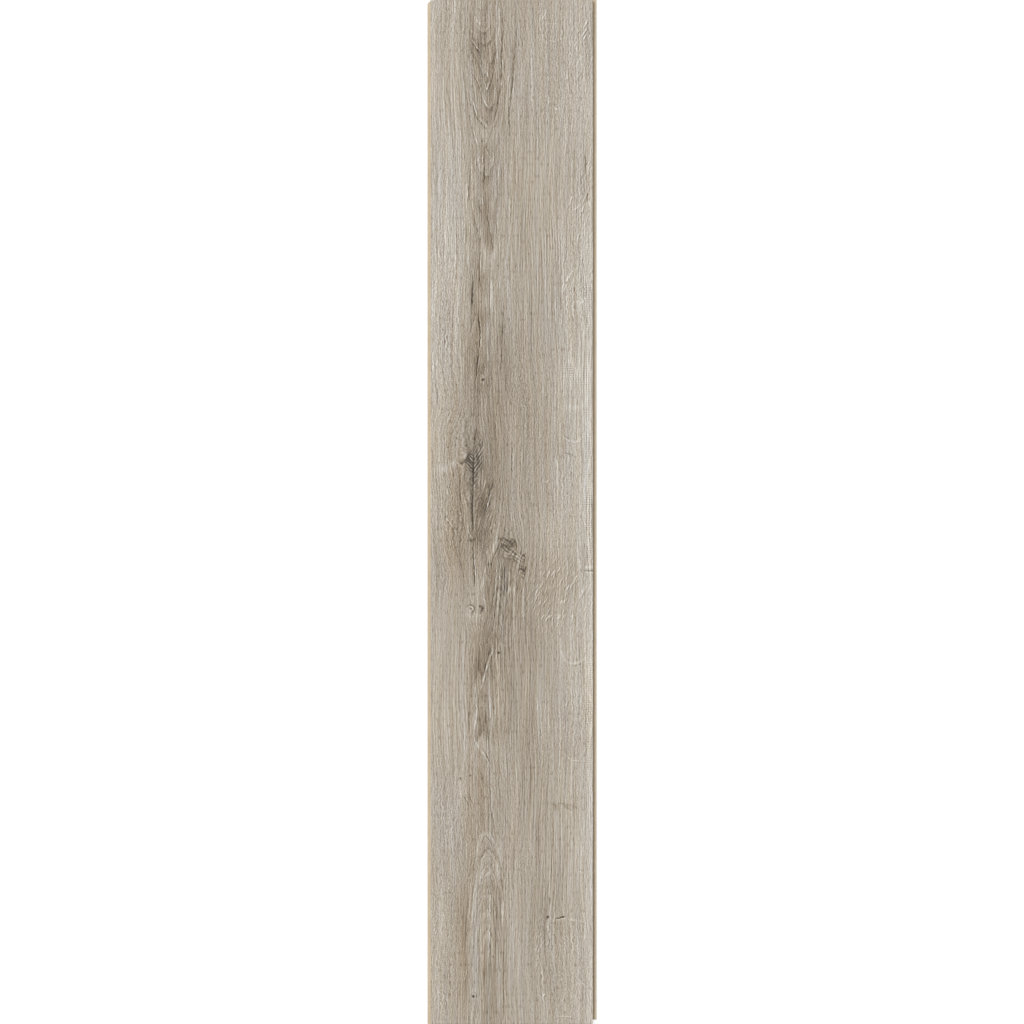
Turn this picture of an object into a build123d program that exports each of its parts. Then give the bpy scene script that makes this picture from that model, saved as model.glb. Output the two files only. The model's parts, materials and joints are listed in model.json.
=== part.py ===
"""Laminate floor plank: one pressed and milled board with a glueless locking joint on all four edges.

The board lies decor face up. X runs across it, Y along it and Z up. The origin is on the underside,
below the middle of the decor face. Sizes are in millimetres.

The left and front edges carry a tongue, and the right and back edges carry the groove with its longer
lower lip. Each edge is milled from end to end, so the board is what the long section, swept along Y,
has in common with the end section, swept along X.

Both halves of the joint are drawn in one joint frame. Its height is measured from the underside and
its reach from the joint plane, where the decor faces of two laid boards meet. The board with the groove
lies on the negative side, and its neighbour with the tongue on the positive side.
"""

import os
from math import cos, radians, sin, sqrt, tan

from build123d import *

# Board
FACE_LENGTH = 1200.0  # decor face, joint plane to joint plane
FACE_WIDTH = 190.0
THICKNESS = 8.0
EDGE_EASE = 0.3  # pressed edge round the decor face, no open V joint

# Groove half of the joint
MATING_FACE = 2.0  # height of the face that butts against the neighbour
UPPER_LIP = 2.7  # decor face down to the groove's ceiling
LEAD_IN = 0.7  # run of the sloped mouth under the upper lip
GROOVE_HEIGHT = 2.4
GROOVE_DEPTH = 4.0  # behind the joint plane
GROOVE_ROUND = 0.5  # radius at the groove's end, where its floor has room for it
ROUND_SHARE = 0.9  # a rounded corner takes at most this share of the groove's floor
LOWER_LIP = 2.0  # thickness of the lower lip where it is thinnest, under the joint plane
LIP_REACH = 4.4  # how far the lower lip stands out past the joint plane

# Locking ridge on the lower lip
RIDGE_FOOT = 2.3  # from the joint plane to the foot of the locking flank
RIDGE_RISE = 1.2  # ridge top above the thinnest part of the lip
RIDGE_CREST = 0.7  # flat on top of the ridge
RIDGE_ROUND = 0.2
LOCK_ANGLE = 60.0  # of the locking flank, above the horizontal
NOSE_DROP = 0.8  # fall from the crest to the end of the lip
NOSE_CHAMFER = 0.4

# Tongue half of the joint
FIT_GAP = 0.05  # between faces that guide or lock
TIP_GAP = 0.25  # tongue tip to groove end, and lip end to its recess
CREST_GAP = 0.3  # ridge crest to the recess above it
TIP_LEAD = 0.8  # sloped top of the tongue's tip
TIP_ROUND = 0.4
ROOT_ROUND = 0.3  # inner corners at the tongue's root and in the lip recess
HEEL_CHAMFER = 0.4  # lower edge of the board where the recess starts

# Heights and reaches that both halves share
TURNING_RADIUS = THICKNESS - LOWER_LIP  # boards turn together about the edge of the decor face
CEILING = THICKNESS - UPPER_LIP
FLOOR = CEILING - GROOVE_HEIGHT
CREST = LOWER_LIP + RIDGE_RISE
TONGUE_REACH = GROOVE_DEPTH - TIP_GAP
RECESS_END = LIP_REACH + TIP_GAP


def arc_height(reach, radius):
    """Height of an arc centred on the edge of the decor face, at a reach from the joint plane."""
    return THICKNESS - sqrt(radius**2 - reach**2)


def flank_meets_arc(foot, direction, radius):
    """Where a straight flank through a point meets, near it, an arc centred on the edge of the decor face."""
    across, down = foot[0], foot[1] - THICKNESS
    along = across * direction[0] + down * direction[1]
    step = -along - sqrt(along**2 - across**2 - down**2 + radius**2)
    return foot[0] + step * direction[0], foot[1] + step * direction[1]


def flank_at(foot, direction, height):
    """The point of a straight flank at a height."""
    step = (height - foot[1]) / direction[1]
    return foot[0] + step * direction[0], height


def groove_half(joint):
    """Edges and rounded corners of the groove half, from the underside up to the decor face."""

    def at(reach, height):
        return joint + reach, height

    foot = RIDGE_FOOT, arc_height(RIDGE_FOOT, TURNING_RADIUS)
    crest_start = RIDGE_FOOT + (CREST - foot[1]) / tan(radians(LOCK_ANGLE))
    crest_end = crest_start + RIDGE_CREST
    seat_end = -sqrt(TURNING_RADIUS**2 - (THICKNESS - FLOOR) ** 2)
    ridge = [at(crest_start, CREST), at(crest_end, CREST)]
    groove_end = [at(-GROOVE_DEPTH, FLOOR), at(-GROOVE_DEPTH, CEILING)]

    lip = Polyline(
        at(LIP_REACH - NOSE_CHAMFER, 0),
        at(LIP_REACH, NOSE_CHAMFER),
        at(LIP_REACH, CREST - NOSE_DROP),
        ridge[1],
        ridge[0],
        at(*foot),
    )
    seat = ThreePointArc(at(*foot), at(0, LOWER_LIP), at(seat_end, FLOOR))
    mouth = Polyline(
        at(seat_end, FLOOR),
        groove_end[0],
        groove_end[1],
        at(-LEAD_IN, CEILING),
        at(0, THICKNESS - MATING_FACE),
        at(0, THICKNESS - EDGE_EASE),
        at(-EDGE_EASE, THICKNESS),
    )
    groove_round = min(GROOVE_ROUND, ROUND_SHARE * (GROOVE_DEPTH + seat_end))
    rounds = [(corner, RIDGE_ROUND) for corner in ridge]
    rounds += [(corner, groove_round) for corner in groove_end]
    return [lip, seat, mouth], rounds


def tongue_half(joint):
    """Edges and rounded corners of the tongue half, from the decor face down to the underside."""

    def at(reach, height):
        return joint + reach, height

    slope = cos(radians(LOCK_ANGLE)), sin(radians(LOCK_ANGLE))
    ridge_foot = RIDGE_FOOT, arc_height(RIDGE_FOOT, TURNING_RADIUS)
    beside_ridge = ridge_foot[0] - FIT_GAP * slope[1], ridge_foot[1] + FIT_GAP * slope[0]
    belly = TURNING_RADIUS - FIT_GAP
    toe = flank_meets_arc(beside_ridge, slope, belly)
    recess = CREST + CREST_GAP
    tongue_top = CEILING - FIT_GAP
    tip_low = at(-TONGUE_REACH, arc_height(TONGUE_REACH, belly))
    root = at(0, tongue_top)
    recess_corner = at(RECESS_END, recess)

    top = Polyline(
        at(EDGE_EASE, THICKNESS),
        at(0, THICKNESS - EDGE_EASE),
        root,
        at(-TONGUE_REACH + TIP_LEAD, tongue_top),
        at(-TONGUE_REACH, tongue_top - TIP_LEAD),
        tip_low,
    )
    underside = ThreePointArc(tip_low, at(0, THICKNESS - belly), at(*toe))
    heel = Polyline(
        at(*toe),
        at(*flank_at(beside_ridge, slope, recess)),
        recess_corner,
        at(RECESS_END, HEEL_CHAMFER),
        at(RECESS_END + HEEL_CHAMFER, 0),
    )
    rounds = [(root, ROOT_ROUND), (recess_corner, ROOT_ROUND), (tip_low, TIP_ROUND)]
    return [top, underside, heel], rounds


def board_section(face):
    """Section across a board whose decor face is this wide, with a tongue left and a groove right."""
    tongue, tongue_rounds = tongue_half(-face / 2)
    groove, groove_rounds = groove_half(face / 2)
    decor = Line(groove[-1] @ 1, tongue[0] @ 0)
    base = Line(tongue[-1] @ 1, groove[0] @ 0)
    section = make_face([*groove, decor, *tongue, base])
    for corner, radius in tongue_rounds + groove_rounds:
        vertex = section.vertices().sort_by_distance(Vector(*corner))[0]
        section = fillet(vertex, radius)
    return section


def plank():
    """The whole board, without the crumbs that the two cuts part from its corners, which fall away."""
    overhang = TONGUE_REACH + LIP_REACH
    lengthwise = extrude(
        Plane.XZ * board_section(FACE_WIDTH), FACE_LENGTH / 2 + overhang, both=True
    )
    crosswise = extrude(
        Plane.YZ * board_section(FACE_LENGTH), FACE_WIDTH / 2 + overhang, both=True
    )
    milled = lengthwise & crosswise
    return max(milled.solids(), key=lambda solid: solid.volume)


os.makedirs("parts", exist_ok=True)
board = plank()
export_step(board, "parts/plank.step")
size = board.bounding_box().size
print(f"plank: {size.X:.2f} x {size.Y:.2f} x {size.Z:.2f} mm, {board.volume / 1e3:.1f} cm3")
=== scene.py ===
"""Laminate floor plank with a grey oak decor: the looks of one board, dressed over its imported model.

The board lies decor face up on a pale floor, and the camera looks straight down on it. Places on the
decor face are measured as a joiner would: across from its left long edge and down from its top end, in
millimetres. Shades are steps of printed tone, of which white has 255.
"""

import json
import logging
import math
from collections.abc import Callable
from dataclasses import dataclass
from enum import Enum

import bmesh
import bpy
import numpy as np
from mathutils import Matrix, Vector


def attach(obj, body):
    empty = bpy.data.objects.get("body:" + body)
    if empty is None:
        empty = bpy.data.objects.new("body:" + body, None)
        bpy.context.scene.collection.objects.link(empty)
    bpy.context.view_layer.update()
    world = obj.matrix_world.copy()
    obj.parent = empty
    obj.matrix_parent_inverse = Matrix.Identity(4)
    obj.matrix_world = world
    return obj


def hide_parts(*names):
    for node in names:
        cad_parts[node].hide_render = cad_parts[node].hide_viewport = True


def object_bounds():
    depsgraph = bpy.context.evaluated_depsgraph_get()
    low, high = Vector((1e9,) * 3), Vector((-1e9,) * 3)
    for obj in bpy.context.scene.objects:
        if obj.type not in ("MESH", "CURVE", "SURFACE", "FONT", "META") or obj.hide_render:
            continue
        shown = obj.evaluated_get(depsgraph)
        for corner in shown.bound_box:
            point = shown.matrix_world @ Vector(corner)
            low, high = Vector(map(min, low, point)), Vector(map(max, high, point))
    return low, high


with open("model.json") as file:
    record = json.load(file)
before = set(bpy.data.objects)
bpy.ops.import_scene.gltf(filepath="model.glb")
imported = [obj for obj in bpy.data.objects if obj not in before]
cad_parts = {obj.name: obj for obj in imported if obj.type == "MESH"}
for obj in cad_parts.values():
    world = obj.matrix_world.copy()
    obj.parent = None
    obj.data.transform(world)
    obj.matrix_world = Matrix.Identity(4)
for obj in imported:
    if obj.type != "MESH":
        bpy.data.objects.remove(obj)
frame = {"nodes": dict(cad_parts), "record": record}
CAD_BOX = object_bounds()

PLANK_NODE = "plank"
MM = 0.001
TINY = 1e-6
WHITE = (1.0, 1.0, 1.0, 1.0)
FULL_TONE = 255.0
AWAY_FROM_LIGHT = (0.85, 0.5)  # across and down; the painted side light beside the fine lines falls as from a light at the upper left
STROKE_TAPER = (-0.05, 0.25)  # shares of a stroke's length between which its ends fade in

Array = np.ndarray
Points = tuple[tuple[float, float], ...]
Row = tuple[float, ...]

log = logging.getLogger("plank")


class Finish(Enum):
    """The board's three visible finishes, in the order of its material slots."""

    DECOR = 0
    CORE = 1
    BACKING = 2


@dataclass(frozen=True)
class DecorFace:
    """The printed face between the joint planes, in metres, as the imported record's mounts give it."""

    half_width: float
    half_length: float
    top: float

    @classmethod
    def from_record(cls, record: dict) -> "DecorFace":
        """Reads the face's size from the mounts.

        Args:
            record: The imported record.

        Returns:
            The face.
        """
        places = {mount["name"]: mount["pos_m"] for mount in record["mounts"]}
        return cls(
            half_width=places["long_groove_edge"][0],
            half_length=places["end_groove_edge"][1],
            top=places["decor_face"][2],
        )

    def across(self, x: Array) -> Array:
        """Millimetres from the left long edge."""
        return (x + self.half_width) / MM

    def down(self, y: Array) -> Array:
        """Millimetres from the top end."""
        return (self.half_length - y) / MM

    def inside(self, x: Array, y: Array) -> Array:
        """Millimetres to the nearest edge."""
        return np.minimum(self.half_width - np.abs(x), self.half_length - np.abs(y)) / MM


def bell(distance: Array, width: float) -> Array:
    """A soft hump, 1 in the middle and a third at its width."""
    return np.exp(-((distance / width) ** 2))


def ease(value: Array, low: float, high: float) -> Array:
    """A smooth step from 0 at low to 1 at high."""
    share = np.clip((value - low) / (high - low), 0, 1)
    return share * share * (3 - 2 * share)


def rounded(course: Points, steps: int = 4) -> Array:
    """Rounds a course of a few points into a smooth line that passes through them.

    Args:
        course: Points, across and down.
        steps: Runs between two points.

    Returns:
        The points of the smooth line, one to a row.
    """
    points = np.array([course[0], *course, course[-1]], float)
    line = []
    for before, start, end, after in zip(points, points[1:], points[2:], points[3:]):
        for share in np.arange(steps) / steps:
            bend = 2 * before - 5 * start + 4 * end - after
            twist = 3 * start - before - 3 * end + after
            line.append(0.5 * (2 * start + (end - before) * share + bend * share**2 + twist * share**3))
    line.append(points[-1])
    return np.array(line)


def profile(points: Points, down: Array, softness: float = 12.0) -> Array:
    """A value that changes along the board.

    Args:
        points: Pairs of a distance down and the value there.
        down: Where it is wanted.
        softness: Millimetres over which its corners are rounded.

    Returns:
        The values.
    """
    places, values = np.array(points, float).T
    offsets = np.linspace(-softness, softness, 5)
    return sum(np.interp(down + offset, places, values) for offset in offsets) / len(offsets)


def ripple(waves: tuple[Row, ...], across: Array, down: Array) -> Array:
    """Adds up slanting sine waves.

    Args:
        waves: Each wave's height, the millimetres down and across for one radian, and its start.
        across: Millimetres from the left edge.
        down: Millimetres from the top end.

    Returns:
        The sum at each point.
    """
    return sum(high * np.sin(down / long + across / wide + start) for high, long, wide, start in waves)


def fibre_noise(across: Array, along: Array, seed: int, size: int = 512) -> Array:
    """Seeded smooth noise on a lattice of unit cells.

    Args:
        across: Cells across the grain.
        along: Cells along it.
        seed: Picks the lattice.
        size: Cells after which it repeats.

    Returns:
        Values from 0 to 1.
    """
    lattice = np.random.default_rng(seed).random((size, size))
    column, row = np.floor(across).astype(int), np.floor(along).astype(int)
    right, below = ease(across - column, 0, 1), ease(along - row, 0, 1)
    corner = [[lattice[(column + i) % size, (row + j) % size] for j in (0, 1)] for i in (0, 1)]
    top = corner[0][0] * (1 - right) + corner[1][0] * right
    bottom = corner[0][1] * (1 - right) + corner[1][1] * right
    return top * (1 - below) + bottom * below


@dataclass(frozen=True)
class Stroke:
    """A long mark of the figure: a crack, a dark or pale line, or a curl.

    Args:
        course: Points, across and down.
        width: Millimetres from its middle to where it is a third as strong.
        shade: Steps of tone that it adds, below 0 where it is darker.
        depth: Millimetres that it is pressed into the face, below 0 where it stands up.
        blunt: True where it starts and ends at full strength.
    """

    course: Points
    width: float
    shade: float
    depth: float = 0.0
    blunt: bool = False

    def offset(self, across: Array, down: Array) -> tuple[Array, Array]:
        """Measures where points lie beside the stroke.

        Args:
            across: Millimetres from the left edge.
            down: Millimetres from the top end.

        Returns:
            The distance to its middle, above 0 on the side away from the light, and its strength there.
        """
        line = rounded(self.course)
        runs = np.hypot(*np.diff(line, axis=0).T)
        starts = np.concatenate([[0], np.cumsum(runs)])
        nearest = np.full(across.shape, np.inf)
        side, share = np.ones(across.shape), np.zeros(across.shape)
        for start, end, run, passed in zip(line, line[1:], runs, starts):
            if run < TINY:
                continue
            step = (end - start) / run
            along = np.clip((across - start[0]) * step[0] + (down - start[1]) * step[1], 0, run)
            right = across - start[0] - along * step[0]
            below = down - start[1] - along * step[1]
            gap = np.hypot(right, below)
            nearer = gap < nearest
            nearest = np.where(nearer, gap, nearest)
            away = right * AWAY_FROM_LIGHT[0] + below * AWAY_FROM_LIGHT[1]
            side = np.where(nearer, np.where(away < 0, -1, 1), side)
            share = np.where(nearer, (passed + along) / starts[-1], share)
        taper = np.ones(across.shape) if self.blunt else ease(np.minimum(share, 1 - share), *STROKE_TAPER)
        return nearest * side, taper

    def strength(self, across: Array, down: Array) -> Array:
        """How strongly the stroke shows at points, from 0 to 1."""
        gap, taper = self.offset(across, down)
        return bell(gap, self.width) * taper


@dataclass(frozen=True)
class Patch:
    """A soft oval of another tone or texture.

    Args:
        across: Middle, from the left edge.
        down: Middle, from the top end.
        half_width: Across, in millimetres.
        half_length: Down, in millimetres.
        shade: Steps of tone that it adds.
        warmth: Brownness that it adds, below 0 where it is greyer.
        lean: Degrees that its long way leans, top to the right.
    """

    across: float
    down: float
    half_width: float
    half_length: float
    shade: float = 0.0
    warmth: float = 0.0
    lean: float = 0.0

    def strength(self, across: Array, down: Array) -> Array:
        """How strongly the patch shows.

        Args:
            across: Millimetres from the left edge.
            down: Millimetres from the top end.

        Returns:
            Its strength at each point, from 0 to 1.
        """
        turn = math.radians(self.lean)
        right, below = across - self.across, down - self.down
        wide = right * math.cos(turn) + below * math.sin(turn)
        long = below * math.cos(turn) - right * math.sin(turn)
        return np.exp(-((wide / self.half_width) ** 2) - (long / self.half_length) ** 2)


@dataclass(frozen=True)
class Band:
    """A soft strip along the whole board, whose tone changes on the way.

    Args:
        course: Pairs of a distance down and the strip's middle there, across.
        width: Millimetres to where it is a third as strong.
        shades: Pairs of a distance down and the steps of tone that it adds there.
    """

    course: Points
    width: float
    shades: Points

    def tone(self, across: Array, down: Array) -> Array:
        """Steps of tone that the strip adds at points."""
        return bell(across - profile(self.course, down), self.width) * profile(self.shades, down)


@dataclass(frozen=True)
class Knot:
    """A knot, round which the grain bends.

    Args:
        across: Middle, from the left edge.
        down: Middle, from the top end.
        radius: Millimetres.
        stretch: How much longer than wide its swirl is.
    """

    across: float
    down: float
    radius: float
    stretch: float

    def bend(self, across: Array, down: Array) -> Array:
        """Millimetres by which the grain lines at points were pushed aside."""
        right, below = across - self.across, (down - self.down) / self.stretch
        return right * self.radius**2 / (right**2 + below**2 + self.radius**2)


def strokes(*rows: Row, blunt: bool = False) -> tuple[Stroke, ...]:
    """Makes flat strokes of rows: width and shade, then across and down of each point."""
    return tuple(Stroke(tuple(zip(row[2::2], row[3::2])), *row[:2], blunt=blunt) for row in rows)


def pressed_strokes(*rows: Row, blunt: bool = False) -> tuple[Stroke, ...]:
    """Makes embossed strokes of rows: width, shade and depth, then across and down of each point."""
    return tuple(Stroke(tuple(zip(row[3::2], row[4::2])), *row[:3], blunt=blunt) for row in rows)


def patches(*rows: Row) -> tuple[Patch, ...]:
    """Makes patches of rows, whose numbers stand in the order of a patch's fields."""
    return tuple(Patch(*row) for row in rows)


# Knots: across, down, radius and stretch
KNOTS = tuple(Knot(*row) for row in (
    (50, 541, 9, 2.6), (36, 537, 8, 1.8), (93, 645, 12, 1.6), (47, 711, 3.4, 2.2), (60, 713, 2.6, 2.2),
    (61.5, 445, 1.6, 2), (80, 765, 1.6, 2.5), (50, 1167.5, 2.4, 2.6), (137.5, 1074.5, 1.6, 2),
))

# Course of the heart of the log under the face: distance down, and across
HEART_LINE = ((0, 60), (60, 61), (105, 66), (150, 67), (300, 63), (420, 57), (540, 52), (640, 56),
              (720, 56), (820, 60), (930, 62), (1000, 66), (1100, 67), (1200, 68))

# Distance down, and square of the depth from the face to the heart, in square millimetres
HEART_DEPTH = ((0, 60), (20, 150), (60, 480), (105, 760), (150, 1030), (220, 1350), (320, 1500),
               (820, 1500), (900, 1150), (960, 860), (1010, 560), (1060, 260), (1110, 70), (1200, 50))

# A second, smaller heart below the arched knot
BRANCH_LINE = ((600, 92), (660, 93), (720, 92), (780, 90))
BRANCH_DEPTH = ((600, 900), (625, 560), (650, 260), (690, 90), (800, 60))
BRANCH_ZONE = Patch(92, 690, 20, 62)
BRANCH_RIM = (0.25, 0.6)  # strengths of that zone between which its rings take over
RING_STEP = 3.6  # millimetres between growth rings

# Waves: height, the millimetres down and across for one radian, and the start
SWAY = ((1.5, 61, 45, 0), (0.8, 23, 17, 2.1))
RING_WAVER = ((0.9, 37, 9, 0), (0.5, 13, -6, 1.3))

# How far marks reach beside themselves, in millimetres
LINE_REACH = 2.6
LINE_FADE = (1.56, LINE_REACH)
DOT_FADE = (3, 5)
NO_LINE = 9.0
NO_DOT = 99.0

# How deep the print is pressed in, in millimetres, for lines and dots for each step of tone
RING_RELIEF = 0.04
DARK_RELIEF = 0.003
PALE_RELIEF = 0.0015
LINE_RELIEF_WIDTH = 1.0
BRUSH_RELIEF = 0.035
BRUSHED = ((1.9, 34, 11, 1.0), (1.7, 9, 12, 0.7))  # pitch, length, seed and share

# Least share of the ring figure, and how much calmer and livelier the fibres are in their zones
RING_LEAST = 0.08
CALMING = 0.3
ENLIVENING = 0.25

SOFT_BANDS = (
    Band(((0, 0), (1200, 0)), 26, ((0, 13), (130, 16), (300, 20), (420, 17), (500, 9), (600, 5), (660, 6),
                                   (740, 12), (860, 11), (1000, 8), (1200, 9))),
    Band(((0, 33), (1200, 33)), 12, ((0, 6), (60, 2), (160, 9), (240, 14), (340, 9), (400, 0), (560, -18),
                                     (640, -16), (700, 0), (850, 4), (950, -2), (1100, -8), (1200, -3))),
    Band(((0, 55), (60, 60), (110, 68), (200, 66), (280, 62), (350, 57), (430, 56), (500, 57), (550, 54),
          (600, 57), (650, 60), (700, 66), (740, 66), (790, 60), (850, 62), (920, 58), (1000, 62),
          (1035, 75), (1120, 76), (1200, 72)), 14,
         ((0, -8), (50, -16), (110, -20), (170, -19), (230, -9), (280, -12), (340, -18), (440, -28),
          (500, -24), (540, -34), (600, -36), (640, -24), (690, -14), (740, -30), (790, -24), (840, -15),
          (880, -8), (920, -14), (960, -15), (1000, -9), (1040, -18), (1120, -14), (1200, -9))),
    Band(((0, 84), (60, 83), (200, 88), (360, 86), (440, 84), (520, 77), (600, 78), (650, 90), (740, 88),
          (820, 86), (1200, 84)), 10,
         ((0, -12), (70, -10), (120, 0), (350, 0), (400, -16), (450, -17), (500, -12), (600, -10),
          (650, -22), (700, -14), (790, -13), (850, -6), (900, 0), (1200, 0))),
    Band(((0, 115), (1200, 115)), 20,
         ((0, -3), (100, 3), (250, 2), (380, 0), (470, -11), (540, -10), (600, -6), (670, -13),
          (760, -13), (820, -5), (880, -10), (960, -6), (1000, -3), (1100, -3), (1200, 1))),
    Band(((0, 172), (1200, 172)), 25,
         ((0, 12), (100, 12), (200, 10), (300, 17), (470, 19), (560, 16), (640, 14), (670, 5), (720, 12),
          (820, 14), (880, 8), (1000, 10), (1090, 5), (1200, 11))),
    Band(((0, 192), (1200, 192)), 9,
         ((0, 7), (300, 12), (660, 6), (760, 22), (850, 20), (900, 15), (1060, 24), (1090, 18), (1200, 24))),
)

# Soft ovals: across, down, half width and half length, then shade, warmth and lean
TONE_PATCHES = patches(
    (78, 540, 10, 50, -9), (60, 625, 9, 20, -16), (25, 685, 13, 42, -10), (52, 690, 12, 30, -9),
    (79, 700, 9, 40, -14), (88, 780, 8, 50, -9), (152, 380, 12, 45, -8), (146, 525, 8, 15, -11),
    (98, 1100, 9, 100, 6), (124, 1045, 8, 60, -9), (146, 1050, 9, 50, -8), (5, 240, 7, 50, 7),
    (5, 960, 7, 60, 5), (45, 110, 6, 40, -6), (78, 100, 8, 40, -5), (107, 270, 6, 90, -6),
    (107, 410, 8, 30, -6), (115, 500, 8, 40, -8), (70, 830, 8, 18, 9), (189, 200, 4, 60, 9),
    (189, 930, 5, 260, 8), (188, 600, 7, 900, 4), (69, 250, 8, 90, -9), (48, 370, 7, 50, -7),
    (72, 490, 6, 50, -7), (150, 310, 10, 60, -6), (140, 680, 14, 40, -7), (40, 135, 7, 25, -8),
    (115, 765, 8, 20, -6), (85, 590, 12, 28, -9), (80, 858, 10, 15, -8), (65, 1065, 4, 20, -10),
    (66, 1165, 3, 40, 9), (25, 1005, 6, 14, -7), (100, 60, 8, 40, -6), (25, 645, 12, 22, -5),
    (135, 1150, 6, 20, -8), (172, 1020, 8, 60, 3), (85, 430, 14, 30, -6), (132, 310, 14, 110, 4),
    (136, 612, 14, 40, 5), (172, 1120, 12, 50, 4), (40, 1110, 4, 70, -15, 3), (30, 1165, 5, 40, -7, 2),
    (63, 1130, 2.5, 80, -14, 3), (53, 1115, 4, 60, 3, -1), (75, 1120, 4, 90, -12, 3),
    (86.5, 1140, 3, 70, -13, 2), (84, 1120, 2, 80, 8), (46, 850, 3, 70, -9, 3), (67, 780, 3, 25, -12, 2),
    (101, 800, 3, 80, -7, 2), (34.5, 572, 2, 26, -15, 3), (70, 570, 9, 10, -12, 2),
    (72, 670, 4, 40, -14, 3), (50, 100, 11, 75, -8), (37, 25, 1.6, 70, -14, 3), (32, 25, 1.4, 60, -10, 2),
    (34.5, 25, 1.2, 60, 9), (28.5, 20, 1.6, 60, 9), (26, 25, 1.3, 60, -8, 2), (42, 30, 2, 40, 6),
    (46, 25, 2.5, 30, -10, 2), (70, 30, 2, 40, 8), (74, 30, 2, 45, -12, 2), (77, 40, 1.5, 45, 8),
    (92, 105, 6, 50, -7), (62, 20, 8, 30, -7), (95, 520, 14, 90, -7), (78, 530, 9, 60, -8),
    (60, 850, 20, 60, -3), (50, 340, 9, 40, -7), (57, 15, 5, 22, 17), (45, 30, 5, 30, -8),
    (50, 60, 9, 14, -9), (77, 110, 4, 30, -8), (90, 60, 4, 60, 10), (100, 50, 3, 30, -6),
    (54, 455, 4, 30, -12, 0, -4), (62, 478, 3, 25, 22, 0, 4), (47, 412, 8, 22, -10), (50, 345, 5, 20, -12),
    (58, 320, 2, 18, -12), (95, 560, 6, 60, 2, -5), (37, 534, 4.2, 5.5, 17, 0, 30),
    (26.5, 543, 3.6, 5, 32, 0, 35), (16, 550, 7, 4.5, 20), (52, 543, 8.5, 16, -30), (44, 538, 5, 6, -16),
    (64.8, 446, 2, 3, 14), (50, 1162, 4, 4, 12), (45, 1168, 2.5, 4, 8), (58, 776, 6.5, 22, -11, 2, 14),
    (53, 60, 8, 14, -10), (43, 537, 2.6, 6, -26, 0, 30), (49, 575, 5, 18, -10), (49, 600, 4, 28, -14),
    (64, 608, 7, 30, -14), (134, 620, 12, 22, 9), (91, 639, 10, 7, -17, 0, -35), (97, 638, 3, 4.5, -14),
    (101, 652, 5, 4, 7, 0, -40), (108.5, 667, 4, 3.5, -14), (73.5, 645, 2.2, 12, 17, -1, 16),
    (65.5, 674, 2.4, 17, 17, -1, 12), (77.5, 648, 2.4, 12, -15, 2, 16), (71.5, 677, 2.6, 18, -13, 2, 9),
    (109, 660, 5, 12, -10), (56, 695, 5, 16, 17), (47, 713, 6, 6.5, 9), (61, 714, 5, 6, 9),
    (54, 723, 9, 4, 9), (40, 716, 3, 9, 6, 0, -25), (55, 745, 8, 16, -6, 3), (57, 785, 7, 25, -10, 3),
    (50, 824, 3, 16, 14), (59, 842, 6, 24, 3, 3), (58, 925, 9, 45, -2, 4), (39, 928, 6, 10, 8),
    (147, 945, 5, 6, -12), (165, 945, 14, 5, -7), (53, 1130, 4, 60, 4, -1), (38, 1090, 10, 90, -3, 3),
    (150, 855, 9, 10, 6), (167, 477, 11, 2.4, 14), (180, 575, 12, 22, 7), (162, 424, 12, 3, 8),
    (160, 880, 10, 8, -5), (176, 355, 6, 5, 12), (150, 1088, 20, 8, -7), (30, 590, 14, 90, 0, 4),
    (20, 640, 14, 30, -7, 3),
)

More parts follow.
